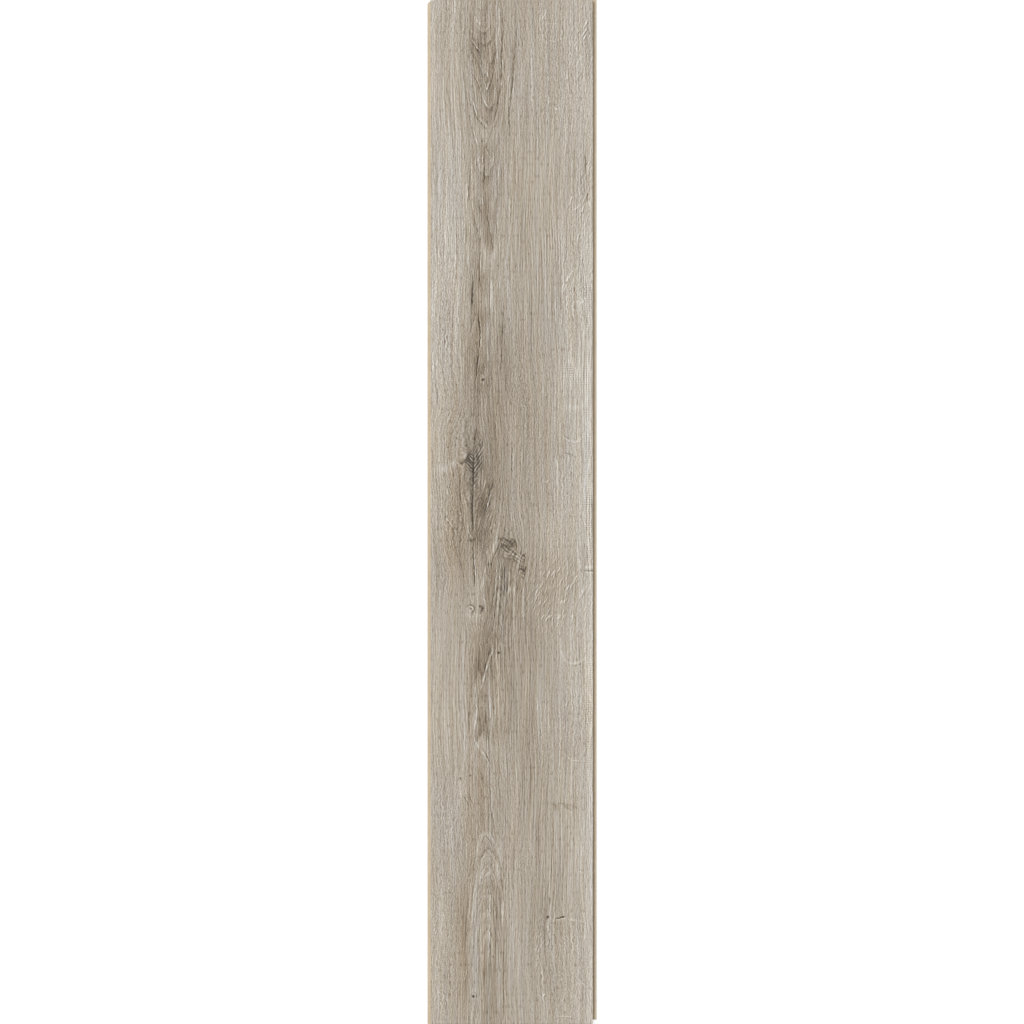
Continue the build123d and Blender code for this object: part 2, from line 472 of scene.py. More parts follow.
# Fine lines: width and shade, then across and down of each point
DARK_LINES = strokes(
    # Arms that lie round the cathedral near the bottom
    (1.2, -13, 57, 1008, 52, 1030, 48, 1060, 45, 1100), (1.2, -14, 78, 988, 81, 1010, 84, 1036, 86, 1060),
    (1, -10, 50, 1000, 46, 1020, 42, 1045), (1.1, -13, 61.5, 1060, 62.5, 1090, 63, 1130, 62, 1165),
    # Cathedral at the top
    (1.4, -30, 85, 12, 84, 45, 83, 85, 82, 104, 79, 120, 76, 137, 71, 152),
    (1.3, -24, 101, 36, 99, 60, 97, 88, 95, 108, 92, 132, 93, 150, 92, 168),
    (1.2, -24, 76, 48, 75, 68, 74, 84, 71, 96, 67, 106), (0.8, -20, 45, 45, 51, 53, 58, 62, 62, 63),
    (0.7, -20, 58, 79, 61, 91, 65, 104), (0.8, -22, 46, 84, 52, 92, 57, 103, 61, 114),
    (0.8, -24, 48, 118, 51, 128, 55, 139, 61, 147, 67, 152),
    (0.8, -14, 40, 92, 43, 120, 47, 145, 52, 165, 56, 182), (0.8, -22, 63, 171, 67, 176, 71, 186),
    (1, -18, 63, 184, 63, 200, 63, 216), (0.7, -16, 44, 208, 44.5, 222, 45, 236),
    (0.7, -22, 57, 233, 57, 243, 60, 250), (0.8, -20, 65, 250, 68, 262, 70, 275, 73, 290, 74, 300),
    (0.9, -16, 94, 246, 94, 256, 94, 264), (0.8, -10, 31, 0, 36, 30, 38, 70),
    # Short splits and the long crack above the dark knot
    (0.8, -34, 50, 330, 49, 344, 49, 358), (0.9, -28, 57, 305, 57.5, 320, 58, 336),
    (0.65, -46, 56, 358, 56, 372, 58, 388, 57.5, 402, 56, 416, 54, 432, 53, 449),
    (0.7, -14, 69, 330, 69, 350, 69, 366), (0.9, -22, 86, 350, 85.5, 372, 84, 395, 83, 420, 82, 445),
    (0.8, -14, 78, 470, 76.5, 490, 75, 512), (1, -26, 54, 500, 52, 512, 51, 524),
    # Dark knot and the crack below it
    (0.7, -16, 28, 500, 24, 512, 21, 525),
    (1.2, -46, 51, 524, 50.5, 545, 50, 570, 49, 590, 49.5, 612, 50, 630),
    (0.7, -46, 50, 634, 50, 650, 51, 666, 52, 688), (0.8, -20, 35, 553, 34.5, 575, 35.5, 598),
    (0.9, -26, 76, 560, 70, 575, 66, 590, 62, 606), (0.8, -20, 95, 512, 95, 535, 95, 562),
    (0.8, -12, 106, 575, 107, 590, 109, 612), (0.8, -12, 92, 600, 94, 612, 96, 624),
    # Fan left of the crack
    (0.7, -12, 35, 598, 38, 612, 43, 630), (0.7, -18, 18, 610, 24, 616, 28, 624),
    (0.7, -14, 28, 640, 36, 664, 40, 684),
    # Streaks beneath the arched knot
    (0.8, -22, 76.5, 662, 75.5, 682, 73, 702, 70.5, 722),
    (0.8, -22, 83.5, 655, 83.5, 680, 82.5, 705, 80, 728, 77, 748),
    (0.8, -16, 90, 668, 90, 690, 89.5, 716, 88, 745), (0.8, -12, 96, 672, 96, 700, 95, 735),
    (0.8, -14, 105, 668, 106, 700, 106, 740), (0.9, -20, 68, 655, 67.5, 668, 68.5, 680),
    (0.9, -22, 83, 634, 76, 648, 72, 660, 70, 674),
    (0.8, -26, 81, 655, 79.5, 680, 77, 705, 74, 728, 71, 750), (0.7, -24, 86.5, 660, 86.5, 680, 86, 700),
    (0.7, -14, 100, 664, 101, 685, 100, 706), (0.7, -16, 111, 668, 112, 695, 112, 730, 111, 756),
    # Brown wedge and its neighbours
    (0.8, -18, 50, 752, 49, 780, 48, 812), (0.8, -18, 46, 814, 46, 832, 46, 850),
    (0.9, -20, 72, 755, 67, 772, 63, 786, 59, 802),
    (0.8, -20, 69, 905, 70, 928, 70.5, 946, 74, 966, 77, 990), (0.7, -12, 107, 775, 107, 800, 106, 830),
    (0.8, -14, 117, 850, 116, 870, 114, 892), (0.7, -22, 64, 880, 67, 889, 70, 898),
    # Short cuts and the cathedral near the bottom
    (0.7, -26, 38, 932, 42, 938, 46, 945), (0.7, -24, 44, 930, 47, 936, 50, 943),
    (0.9, -14, 127, 938, 127, 965, 126, 998), (1, -16, 143, 950, 143.5, 975, 143, 1008),
    (0.6, -18, 60, 990, 62, 984, 65, 980, 69, 985, 73, 992),
    (0.6, -18, 56, 1012, 60, 1003, 65, 999, 70, 1002, 74, 1012),
    (0.6, -22, 56, 1034, 60, 1021, 64, 1014, 68, 1012, 72, 1016, 75, 1026),
    (0.6, -16, 60, 1044, 62, 1034, 65, 1028, 69, 1027, 72, 1034, 73, 1046),
    (1, -12, 45, 1045, 42, 1075, 41, 1110), (1, -16, 80, 1040, 82, 1062, 80, 1088),
    (0.9, -14, 86, 1105, 86, 1150, 85, 1198), (0.8, -14, 56, 1100, 57, 1115, 57, 1136),
    (0.8, -18, 53, 1170, 56, 1178, 55, 1190),
    # Black bar at the right, and the line above it
    (0.7, -26, 139.5, 1050, 139.5, 1060, 138.5, 1070), (1, -62, 146, 1077, 151, 1076, 158, 1074),
    (0.7, -18, 134, 1080, 134, 1100, 134, 1118), (0.8, -14, 142, 1082, 142, 1098, 142, 1116),
    # Right edge
    (0.7, -20, 183, 638, 183.5, 650, 183, 662), (0.8, -24, 181, 180, 182, 192, 181, 204),
    (0.8, -26, 183, 224, 184, 230, 183, 238), (0.8, -26, 176, 208, 177, 213, 178, 219),
    (0.6, -20, 156, 332, 160, 331, 164, 329), (0.6, -14, 162, 780, 169, 780.5, 178, 778),
    (0.8, -18, 156, 531, 162, 532, 167, 534), (0.6, -18, 172, 1018, 176, 1020, 180, 1021),
) + strokes(
    (0.6, -30, 181, 669, 186, 669, 190, 669),
    blunt=True,
)

PALE_LINES = strokes(
    (0.7, 20, 47, 45, 52, 52, 58, 60), (0.7, 30, 60, 88, 63, 97, 66, 105, 68, 99, 70, 91),
    (0.7, 20, 48, 87, 53, 95, 57, 104), (0.9, 24, 60, 112, 64, 120, 68, 127),
    (0.8, 30, 50, 118, 52, 127, 54, 137), (0.8, 26, 57, 145, 59, 141, 63, 142, 66, 149),
    (0.8, 20, 49, 150, 53, 162, 56, 174, 57, 190, 58, 210), (0.7, 26, 61, 176, 61, 195, 61, 213),
    (0.9, 18, 64, 172, 67, 180, 70, 184, 72, 188), (0.7, 22, 43, 208, 43, 222, 43.5, 236),
    (0.8, 12, 42, 234, 40.5, 262, 39.5, 298), (0.7, 14, 48, 185, 49, 215, 49, 248),
    (0.9, 18, 59, 229, 61, 236, 62, 246), (0.9, 14, 80, 0, 80, 35, 80, 60),
    (0.9, 16, 92, 80, 90, 104, 88, 132), (0.7, 8, 78, 160, 77, 180, 77, 196),
    (0.6, 18, 93, 196, 92.5, 225, 93, 262), (0.7, 14, 80, 194, 80, 205, 79.5, 216),
    (0.9, 14, 79, 246, 79, 258, 79.5, 272), (1, 16, 80, 278, 81, 286, 80.5, 294),
    (0.9, 18, 57, 22, 58, 28, 57.5, 34), (0.8, 16, 160, 80, 161, 100, 163, 118, 164, 126),
    (0.9, 22, 135, 14, 133, 19, 131, 23), (1, 18, 142, 123, 146, 126, 150, 130),
    (0.8, 22, 166, 229, 164, 236, 161, 243), (0.8, 22, 175, 239, 171, 244, 167, 247),
    (0.7, 26, 175, 271, 173, 278, 171, 284), (0.9, 22, 186, 188, 185, 195, 187, 202),
    (1.1, 20, 187, 232, 186, 238, 187, 244), (0.7, 28, 50, 313, 50, 321, 50, 330),
    (1.2, 22, 168, 316, 163, 323, 159, 330), (1, 18, 160, 333, 157, 338, 154, 345),
    (1.4, 24, 170, 351, 174, 355, 181, 357), (1, 18, 183, 348, 179, 352, 177, 355),
    (0.9, 14, 153, 362, 153.5, 378, 153, 394), (0.6, 16, 87, 302, 87.5, 320, 88, 338),
    (0.8, 18, 43, 521, 38, 524, 33, 529), (0.8, 20, 65, 562, 63, 570, 61, 578),
    (0.7, 22, 74, 572, 69, 584, 65, 598), (0.8, 24, 60, 603, 57, 612, 55, 622),
    (0.7, 28, 43, 614, 45, 624, 49, 631), (0.7, 16, 16, 606, 20, 609, 26, 617),
    (0.7, 16, 16, 612, 18, 618, 20, 624), (1.1, 16, 154, 508, 158, 514, 166, 518, 175, 516, 180, 509),
    (0.8, 16, 147, 536, 149, 546, 149, 560), (0.6, 12, 102, 565, 104, 580, 106, 600),
    # Beside and beneath the arched knot
    (1.2, 12, 77, 632, 73, 645, 69, 657), (1.4, 14, 66, 660, 63, 675, 61, 690),
    (0.7, 18, 81.7, 655, 81.5, 680, 80, 705, 77, 730), (0.7, 16, 85.2, 670, 85.2, 700, 83.5, 725, 81, 745),
    (0.7, 15, 78, 660, 77, 685, 75, 705, 72.5, 728), (0.8, 14, 92.5, 660, 93, 690, 92, 720),
    (0.8, 10, 99, 668, 99, 695, 98, 725), (0.8, 12, 108.5, 682, 109, 705, 109, 735),
    (0.7, 10, 90, 660, 89, 690, 89, 720), (1.2, 20, 61, 698, 64, 705, 67, 711),
    (0.6, 14, 37, 714, 42, 719, 48, 723), (0.8, 18, 173, 653, 175, 660, 176, 668),
    (0.8, 20, 173, 673, 170, 678, 167, 684), (0.8, 20, 180, 688, 178, 694, 176, 701),
    (0.8, 18, 133, 563, 136, 565.5, 139, 562), (0.9, -16, 137, 577, 141, 581, 145, 578),
    (0.8, 14, 178, 606, 181, 613, 183, 619), (1, 13, 138, 46, 145, 49, 154, 45),
    (0.8, 12, 157, 823, 160, 827, 163, 830),
    # Long pale seam beside the brown wedge
    (1, 22, 74, 756, 71, 768, 67, 779, 64, 790, 61, 802, 57, 812), (0.9, 18, 79, 764, 76, 771, 74, 779),
    (0.9, 18, 57, 753, 59, 758, 60, 764), (1, 22, 54, 811, 54.5, 828, 53, 846, 50.5, 860),
    (1, 20, 50.5, 860, 52.5, 869, 57, 876), (0.8, 28, 58, 878, 62, 883, 66, 890, 71, 899),
    (0.8, 18, 69, 812, 70, 826, 70, 842), (0.7, 16, 76, 815, 76, 832, 75.5, 852),
    (0.8, 12, 68, 845, 69, 860, 70, 874), (0.7, 9, 79, 776, 80, 790, 79, 802),
    (0.8, 14, 94, 855, 93, 875, 92, 897), (0.7, 12, 124, 812, 125, 824, 125, 836),
    # Pale bars at the right
    (0.8, 18, 156, 882, 162, 888, 170, 892, 180, 892), (1, 14, 157, 823, 158, 827, 160, 829),
    (1, 16, 153, 862, 154, 865, 155, 867),
    # Cathedral near the bottom
    (0.8, 10, 61, 988, 63, 984, 66, 983, 70, 990), (0.9, 10, 58, 1008, 61, 1005, 66, 1003, 71, 1006),
    (0.9, 10, 59, 1028, 62, 1019, 67, 1016, 71, 1021), (0.9, 16, 85, 1052, 84.5, 1072, 83, 1096),
    (0.8, 14, 81, 1110, 80, 1140, 79, 1184), (0.8, 18, 43, 1136, 41, 1142, 40, 1150),
    (1, 18, 50, 1178, 49, 1188, 48, 1200), (0.8, 18, 56, 1168, 56, 1176, 57, 1184),
    (0.9, 14, 156, 1146, 151, 1151, 146, 1157), (0.9, 14, 173, 1146, 178, 1152, 184, 1158),
    (1, 22, 134, 1164, 132, 1168, 131, 1173), (0.9, 14, 144, 1193, 154, 1191, 170, 1193),
    (1, 18, 138, 1078, 138, 1086, 138, 1094), (1.3, 16, 159, 1077, 169, 1079, 182, 1081),
    (1.6, 12, 172, 1097, 177, 1098, 182, 1097),
) + strokes(
    (1.8, 14, 182, 665, 186, 665.5, 190, 665),
    (2, 17, 154, 764, 156, 771, 161, 776, 168, 777.5, 175, 776, 181, 772),
    (0.8, 23, 70, 1048, 69, 1080, 68, 1122),
    blunt=True,
)

# Curls of the arched knot, rims of the small knots and other marks too close together for fine
# lines: width, shade and depth, then across and down of each point
CURLS = pressed_strokes(
    (0.7, -34, 0.04, 86, 643.5, 88.5, 646, 91, 649), (0.8, -26, 0.03, 92, 654, 95, 657.5),
    (0.8, -28, 0.04, 81.5, 641, 80, 648, 79, 656), (0.7, -22, 0.03, 84.5, 648, 84.5, 656),
    (1, -18, 0.02, 104, 634, 106, 640, 107, 646), (0.8, -30, 0.04, 108.5, 675, 106.5, 677.5),
    (0.7, -24, 0.02, 86, 628, 89, 624), (0.6, -20, 0.02, 88, 621, 91, 625, 95, 628.5),
    (0.5, 23, -0.03, 84.5, 640.5, 89, 644, 93.5, 648, 98, 652, 102, 656),
    (0.5, 26, -0.03, 89.5, 637.5, 94, 641, 98, 644.5, 102.5, 649),
    (0.6, 22, -0.02, 84.5, 634.5, 87.5, 636.5, 90.5, 638), (0.6, 24, -0.02, 83, 650, 84, 645.5, 87, 644),
    (0.6, 22, -0.02, 86.5, 653, 87, 649, 90, 647), (0.8, 20, -0.02, 109, 648, 111, 645, 112, 641),
    (0.8, -40, 0.06, 43.5, 713, 44, 710, 47, 708.5, 50, 710, 51.5, 713, 50, 716.5, 46.5, 717),
    (0.7, -34, 0.04, 46, 713, 48, 712.5, 48, 715), (0.5, 20, -0.02, 47, 711, 50, 713, 49, 716),
    (0.7, 20, -0.02, 63.5, 709, 65, 713, 63.5, 718), (1.3, -44, 0.06, 44, 631, 47, 633.5, 50, 633, 52, 629),
    (1.2, 18, -0.03, 51, 719, 56, 722, 61, 720), (1.2, -26, 0.05, 142, 941, 145, 943, 146.5, 946, 145, 950),
    (0.9, -23, 0.03, 148, 944, 151, 941.5, 155, 942, 158, 945, 163, 948, 168, 950),
    (0.8, -22, 0.02, 156, 948, 160, 944, 164, 943, 169, 946, 174, 948),
    (0.7, 13, -0.02, 150, 944, 154, 945, 160, 950, 166, 953),
    (0.8, -24, 0.03, 82, 381, 84, 385, 87, 383, 86, 379),
    # Dark wedge and pale nodule left of the dark knot
    (0.9, -52, 0.1, 46, 530, 44.5, 533, 43, 536, 42, 538), (1.1, -46, 0.1, 44, 534, 42, 538, 38, 542),
    (0.6, -34, 0.05, 47, 534, 45.5, 538, 43, 542), (0.6, -38, 0.05, 48, 539, 46, 541, 42, 544),
    (1.2, -40, 0.08, 38, 541.5, 42, 541.5, 46, 541, 50, 543),
    (0.6, -36, 0.06, 30.5, 538, 33, 541.5, 36, 544.5), (0.5, 26, -0.03, 32, 542, 35, 545.5, 38.5, 549),
    (1.5, 22, -0.04, 43, 530, 41, 534, 38, 539), (2.4, 14, -0.04, 33, 531, 35, 537, 38, 541),
    (0.9, -22, 0.03, 43, 521, 37, 525, 32, 531), (1.2, -30, 0.05, 54, 503, 53.5, 508, 52, 516),
    (0.8, 24, -0.02, 55, 520, 57, 517, 58, 515), (0.7, -34, 0.04, 60, 516, 61, 520, 60.5, 525),
    (0.8, -30, 0.04, 56, 519, 58, 523, 57.5, 527), (0.7, 26, -0.02, 62, 520, 61, 525, 58, 530),
) + pressed_strokes(
    (1.2, -50, 0.07, 80.5, 631, 82, 633), (1, -48, 0.07, 84, 630.5, 87, 632, 90.5, 634),
    (0.9, -46, 0.07, 95.5, 631.5, 97.5, 633.5, 98.5, 637, 98, 640.5),
    (0.8, -42, 0.06, 93.5, 633.5, 95.5, 635, 97, 637), (0.8, -46, 0.05, 90.5, 635, 93, 637.5),
    (0.7, -36, 0.04, 94.5, 638, 96.5, 640), (0.9, -46, 0.06, 82.5, 637.5, 84, 640, 86, 641.5),
    (0.8, -46, 0.06, 88, 638, 90, 640.5, 92, 642.5),
    (0.7, -38, 0.05, 91.5, 645.5, 94, 643.5, 97, 643.5, 99, 645.5),
    (0.8, -42, 0.05, 96, 647.5, 98, 649, 100.5, 650.5), (0.8, -38, 0.05, 92, 650.5, 95, 652, 97, 654.5),
    (0.6, -26, 0.03, 94.5, 659, 98, 654.5), (0.6, -22, 0.03, 102.5, 663, 106, 658),
    (0.7, -24, 0.03, 104, 648.5, 106.5, 645), (0.8, -34, 0.04, 97.5, 655, 99, 657.5),
    (0.6, -32, 0.03, 99.5, 661, 103, 655.5, 106, 650, 107, 646.5),
    (0.9, -44, 0.07, 107, 652, 108.5, 650, 110.5, 651.5, 110.5, 655, 109, 658),
    (0.8, -34, 0.04, 105, 663, 107, 664.5), (0.9, -46, 0.06, 103.5, 667, 107, 667, 110.5, 667, 112, 664),
    (0.9, -42, 0.05, 110.5, 669, 109, 671, 110, 673), (0.6, 32, -0.03, 89.5, 638.5, 92.5, 633.5, 95, 629.5),
    (0.5, 24, -0.02, 90, 646.5, 92.5, 643.5, 95, 641.5),
    (0.5, 18, -0.02, 95.5, 660.5, 100, 654.5, 102, 650.5),
    (0.5, 25, -0.03, 97.5, 662, 101.5, 657, 105, 652, 107.5, 648),
    (0.5, 24, -0.02, 101, 664, 105.5, 657.5, 108.5, 653),
    (1.1, -62, 0.08, 58, 710.5, 60, 711, 61.5, 713, 60, 715), (0.8, -34, 0.06, 35.5, 543, 37.5, 545),
    blunt=True,
)

# Round dots: across, down, radius, and steps of tone
DOTS = (
    (61.5, 445, 1.5, -120), (52.5, 1163.5, 0.8, -60), (54, 1166, 0.8, -55), (53, 1171, 0.9, -60),
    (54.5, 1175, 0.9, -40), (73, 1121, 1.1, -45), (50, 1167.5, 1.4, -120), (53.8, 1168, 0.9, -60),
    (53, 1171, 0.8, -40), (137.3, 1074.5, 1.4, -95), (135.5, 1077, 0.9, -45), (80, 765, 1.5, -100),
    (34.8, 912, 1.1, -70), (46.5, 909, 1.1, -70), (59.5, 912, 0.8, -45), (30.5, 514, 1.3, -44),
    (45, 514, 1.1, -38), (20, 524, 1.1, -36), (132.3, 571, 1.1, -55), (46, 339, 1.2, -34),
    (73.3, 1121, 1.1, -36), (166, 533, 1, -38), (60.5, 713, 1.2, -75), (58, 710.8, 0.9, -45),
    (164, 354.5, 0.8, -28), (48, 713, 0.8, -45), (177, 1082, 0.9, -42), (184, 1083, 0.9, -42),
    (94, 621.5, 1, -45), (17.5, 692, 0.9, -40),
)

# The dark knot: how far across its crack runs, and where torn fibres fan out from it
CRACK_ACROSS = 50.0
FAN_ZONES = patches(
    (54.5, 547, 4.6, 10, 0, 0, 18), (56, 532, 4.2, 7, 0, 0, 14), (46, 545, 3.4, 7, 0, 0, -10),
    (49.5, 538, 5, 8), (51, 562, 3, 8), (58, 519, 2, 4.5),
)

# The arched knot, over which the fibres cross like a braid
BRAID_ZONES = patches(
    (87, 633.5, 6.5, 2.5, 0, 0, 15), (95.5, 636, 4, 5), (86, 641, 6, 4, 0, 0, 35),
    (94, 645.5, 7, 4, 0, 0, 40), (97, 652, 7, 3.5, 0, 0, 40), (103, 655, 4, 5), (108.5, 653, 3, 4.5),
    (108, 667, 4, 3.5), (109, 674, 2.5, 5), (48, 712, 3.6, 4),
)

# Where the fibres are calm, straight or lively
CALM_ZONES = patches(
    (107, 1120, 20, 80), (107, 1120, 14, 60), (66, 1010, 20, 30), (20, 760, 24, 80), (130, 770, 30, 60),
)
STRAIGHT_ZONES = patches(
    (122, 235, 30, 80), (135, 350, 22, 50), (25, 110, 16, 40), (150, 1010, 30, 60), (24, 820, 26, 80),
    (105, 800, 24, 60), (80, 1140, 30, 60), (90, 700, 16, 50), (120, 920, 16, 50),
)
LIVELY_ZONES = patches(
    (60, 80, 26, 60), (66, 40, 16, 40), (58, 590, 20, 50), (20, 600, 24, 80), (20, 340, 24, 90),
    (165, 320, 26, 90), (90, 690, 18, 50), (176, 60, 16, 60),
)

# Where the fibres slant; the fifth number is how far they run across for each millimetre down
SLANT_ZONES = patches(
    (22, 487, 20, 26, 0.34), (22, 650, 14, 40, -0.30), (66, 600, 9, 26, 0.34), (38, 592, 7, 24, -0.26),
    (48, 735, 7, 16, -0.34), (66, 735, 6, 18, 0.30), (148, 700, 34, 34, 0.16), (110, 600, 12, 30, -0.14),
)

# Where growth rings, ray flecks, torn fibres and columns of pores show; zones that overlap add up
RING_ZONES = patches(
    (70, 85, 28, 85), (62, 260, 20, 110), (60, 420, 18, 80), (62, 600, 20, 50), (90, 720, 24, 60),
    (66, 840, 26, 70), (66, 1010, 24, 36), (64, 1120, 30, 90),
)
FLECK_ZONES = patches(
    (150, 698, 34, 40), (140, 690, 26, 34), (182, 50, 12, 32), (178, 50, 12, 30), (180, 225, 9, 45),
    (125, 1105, 10, 30),
)
ROUGH_ZONES = patches(
    (24, 610, 24, 70), (165, 340, 24, 70), (66, 1010, 26, 44), (20, 30, 22, 40), (110, 480, 20, 50),
    (165, 560, 22, 60), (20, 940, 20, 60), (14, 380, 20, 110), (30, 480, 16, 40), (165, 95, 30, 70),
    (128, 110, 20, 30), (60, 440, 12, 24), (58, 615, 14, 30), (130, 880, 14, 24), (172, 850, 16, 60),
    (52, 60, 10, 18), (100, 425, 12, 30), (142, 625, 26, 26), (135, 30, 20, 34), (112, 1010, 10, 18),
    (62, 650, 12, 10), (70, 572, 11, 12), (70, 572, 9, 10), (15, 1090, 18, 70), (12, 1130, 18, 80),
    (165, 1150, 24, 50), (140, 1110, 30, 50), (56, 20, 5, 18),
)
COLUMN_ZONES = patches(
    (184, 440, 6, 120), (186, 600, 5, 60), (165, 438, 16, 12), (187, 830, 4, 60),
)


class GrainField:
    """The oak figure as fields over the decor face, which the mesh stores for its material and relief."""

    def __init__(self, across: Array, down: Array) -> None:
        """Works out the grain's lines and its growth rings, the log's rings cut by the face.

        Args:
            across: Millimetres from the left edge, one for each point.
            down: Millimetres from the top end.
        """
        self.across = across
        self.down = down
        straightened = across - sum(knot.bend(across, down) for knot in KNOTS)
        slant = sum(zone.shade * (down - zone.down) * zone.strength(across, down) for zone in SLANT_ZONES)
        self.fibre = straightened + ripple(SWAY, across, down) + slant
        trunk, branch = (
            np.sqrt((straightened - profile(line, down)) ** 2 + profile(depth, down))
            for line, depth in ((HEART_LINE, HEART_DEPTH), (BRANCH_LINE, BRANCH_DEPTH))
        )
        share = ease(BRANCH_ZONE.strength(across, down), *BRANCH_RIM)
        waver = ripple(RING_WAVER, straightened, down)
        self.rings = (trunk * (1 - share) + branch * share + waver) / RING_STEP

    def tone(self) -> Array:
        """Steps of tone from bands and patches."""
        marks = sum(patch.shade * patch.strength(self.across, self.down) for patch in TONE_PATCHES)
        return sum(band.tone(self.across, self.down) for band in SOFT_BANDS) + marks

    def warmth(self) -> Array:
        """Brownness above or below the print's usual one."""
        return sum(patch.warmth * patch.strength(self.across, self.down) for patch in TONE_PATCHES)

    def amount(self, zones: tuple[Patch, ...]) -> Array:
        """How much of a texture shows, from 0 to 1, in its zones."""
        return np.clip(sum(zone.strength(self.across, self.down) for zone in zones), 0, 1)

    def lines(self, strokes: tuple[Stroke, ...]) -> Array:
        """Measures the nearest of many fine lines.

        Args:
            strokes: The lines.

        Returns:
            For each point the distance beside its nearest line, the line's shade there and its width.
        """
        found = np.tile([NO_LINE, 0.0, 1.0], (len(self.across), 1))
        closest = np.full(len(self.across), np.inf)
        for stroke in strokes:
            course = np.array(stroke.course, float)
            low, high = course.min(0) - 2 * LINE_REACH, course.max(0) + 2 * LINE_REACH
            near = (self.across > low[0]) & (self.across < high[0])
            near &= (self.down > low[1]) & (self.down < high[1])
            picked = np.flatnonzero(near)
            offset, taper = stroke.offset(self.across[picked], self.down[picked])
            gap = np.abs(offset)
            shade = stroke.shade * taper * (1 - ease(gap, *LINE_FADE))
            better = gap < closest[picked]
            picked = picked[better]
            closest[picked] = gap[better]
            found[picked] = np.column_stack([offset, shade, np.full(gap.shape, stroke.width)])[better]
        return found

    def dots(self) -> Array:
        """Measures the nearest round dot.

        Returns:
            For each point the distance to its nearest dot, the dot's shade and its radius.
        """
        found = np.tile([NO_DOT, 0.0, 1.0], (len(self.across), 1))
        for across, down, radius, shade in DOTS:
            gap = np.hypot(self.across - across, self.down - down)
            nearer = gap < found[:, 0]
            found[nearer, 0] = gap[nearer]
            found[nearer, 1:] = shade, radius
        found[:, 1] *= 1 - ease(found[:, 0], *DOT_FADE)
        return found

    def relief(self, dark: Array, pale: Array) -> Array:
        """Millimetres that the face is pressed in at each point, in register with the print.

        Args:
            dark: The nearest dark lines.
            pale: The nearest pale lines.

        Returns:
            The depths.
        """
        ring = 0.5 + 0.5 * np.sin(2 * math.pi * self.rings)
        depth = RING_RELIEF * self.amount(RING_ZONES) * ring
        for nearest, scale in ((dark, DARK_RELIEF), (pale, PALE_RELIEF)):
            depth = depth - nearest[:, 1] * bell(nearest[:, 0], LINE_RELIEF_WIDTH) * scale
        for curl in CURLS:
            depth = depth + curl.depth * curl.strength(self.across, self.down)
        for across, down, radius, shade in DOTS:
            gap = np.hypot(self.across - across, self.down - down)
            depth = depth - shade * DARK_RELIEF * bell(gap, radius)
        brushed = sum(
            share * fibre_noise(self.fibre / pitch, self.down / length, seed)
            for pitch, length, seed, share in BRUSHED
        )
        return depth + BRUSH_RELIEF * brushed

    def stored(self, dark: Array, pale: Array) -> dict[str, Array]:
        """The fields that the mesh carries for the decor's material, three numbers under each name.

        Args:
            dark: The nearest dark lines.
            pale: The nearest pale lines.

        Returns:
            The fields by name.
        """
        ring_share = RING_LEAST + (1 - RING_LEAST) * self.amount(RING_ZONES)
        liveliness = 1 - CALMING * self.amount(CALM_ZONES) + ENLIVENING * self.amount(LIVELY_ZONES)
        fields = {
            "grain": (self.fibre, self.down, self.rings),
            "tone": (self.tone(), self.warmth(), ring_share),
            "texture": tuple(self.amount(zones) for zones in (FLECK_ZONES, ROUGH_ZONES, COLUMN_ZONES)),
            "fan": (self.down, self.across - CRACK_ACROSS, self.amount(FAN_ZONES)),
            "braid": (self.amount(BRAID_ZONES), liveliness, self.amount(STRAIGHT_ZONES)),
        }
        nearest = {"dot": self.dots(), "curl": self.lines(CURLS), "dark_line": dark, "pale_line": pale}
        return {name: np.column_stack(values) for name, values in fields.items()} | nearest


class Signal:
    """A value, vector or colour in a node tree. The usual signs join values by Math nodes."""

    def __init__(self, wiring: "Wiring", socket: bpy.types.NodeSocket) -> None:
        """Takes the socket that gives it."""
        self.wiring, self.socket = wiring, socket

    def __add__(self, other: "Source") -> "Signal":
        """The sum."""
        return self.wiring.math("ADD", self, other)

    def __sub__(self, other: "Source") -> "Signal":
        """The difference."""
        return self.wiring.math("SUBTRACT", self, other)

    def __rsub__(self, other: float) -> "Signal":
        """A number less this."""
        return self.wiring.math("SUBTRACT", other, self)

    def __mul__(self, other: "Source") -> "Signal":
        """The product."""
        return self.wiring.math("MULTIPLY", self, other)

    def __truediv__(self, other: "Source") -> "Signal":
        """The quotient."""
        return self.wiring.math("DIVIDE", self, other)

    __radd__ = __add__

    def size(self) -> "Signal":
        """Its distance from 0."""
        return self.wiring.math("ABSOLUTE", self)

    def wave(self, length: float) -> "Signal":
        """A sine wave over it, from -1 to 1, of a given length."""
        return self.wiring.math("SINE", self * (2 * math.pi / length))

    def step(self, low: float, high: float) -> "Signal":
        """A smooth step from 0 where it is low to 1 where it is high."""
        sources = (self, low, high, 0.0, 1.0)
        return self.wiring.add("ShaderNodeMapRange", *sources, interpolation_type="SMOOTHSTEP")


Source = Signal | float | tuple
Effect = tuple[Signal, Signal]


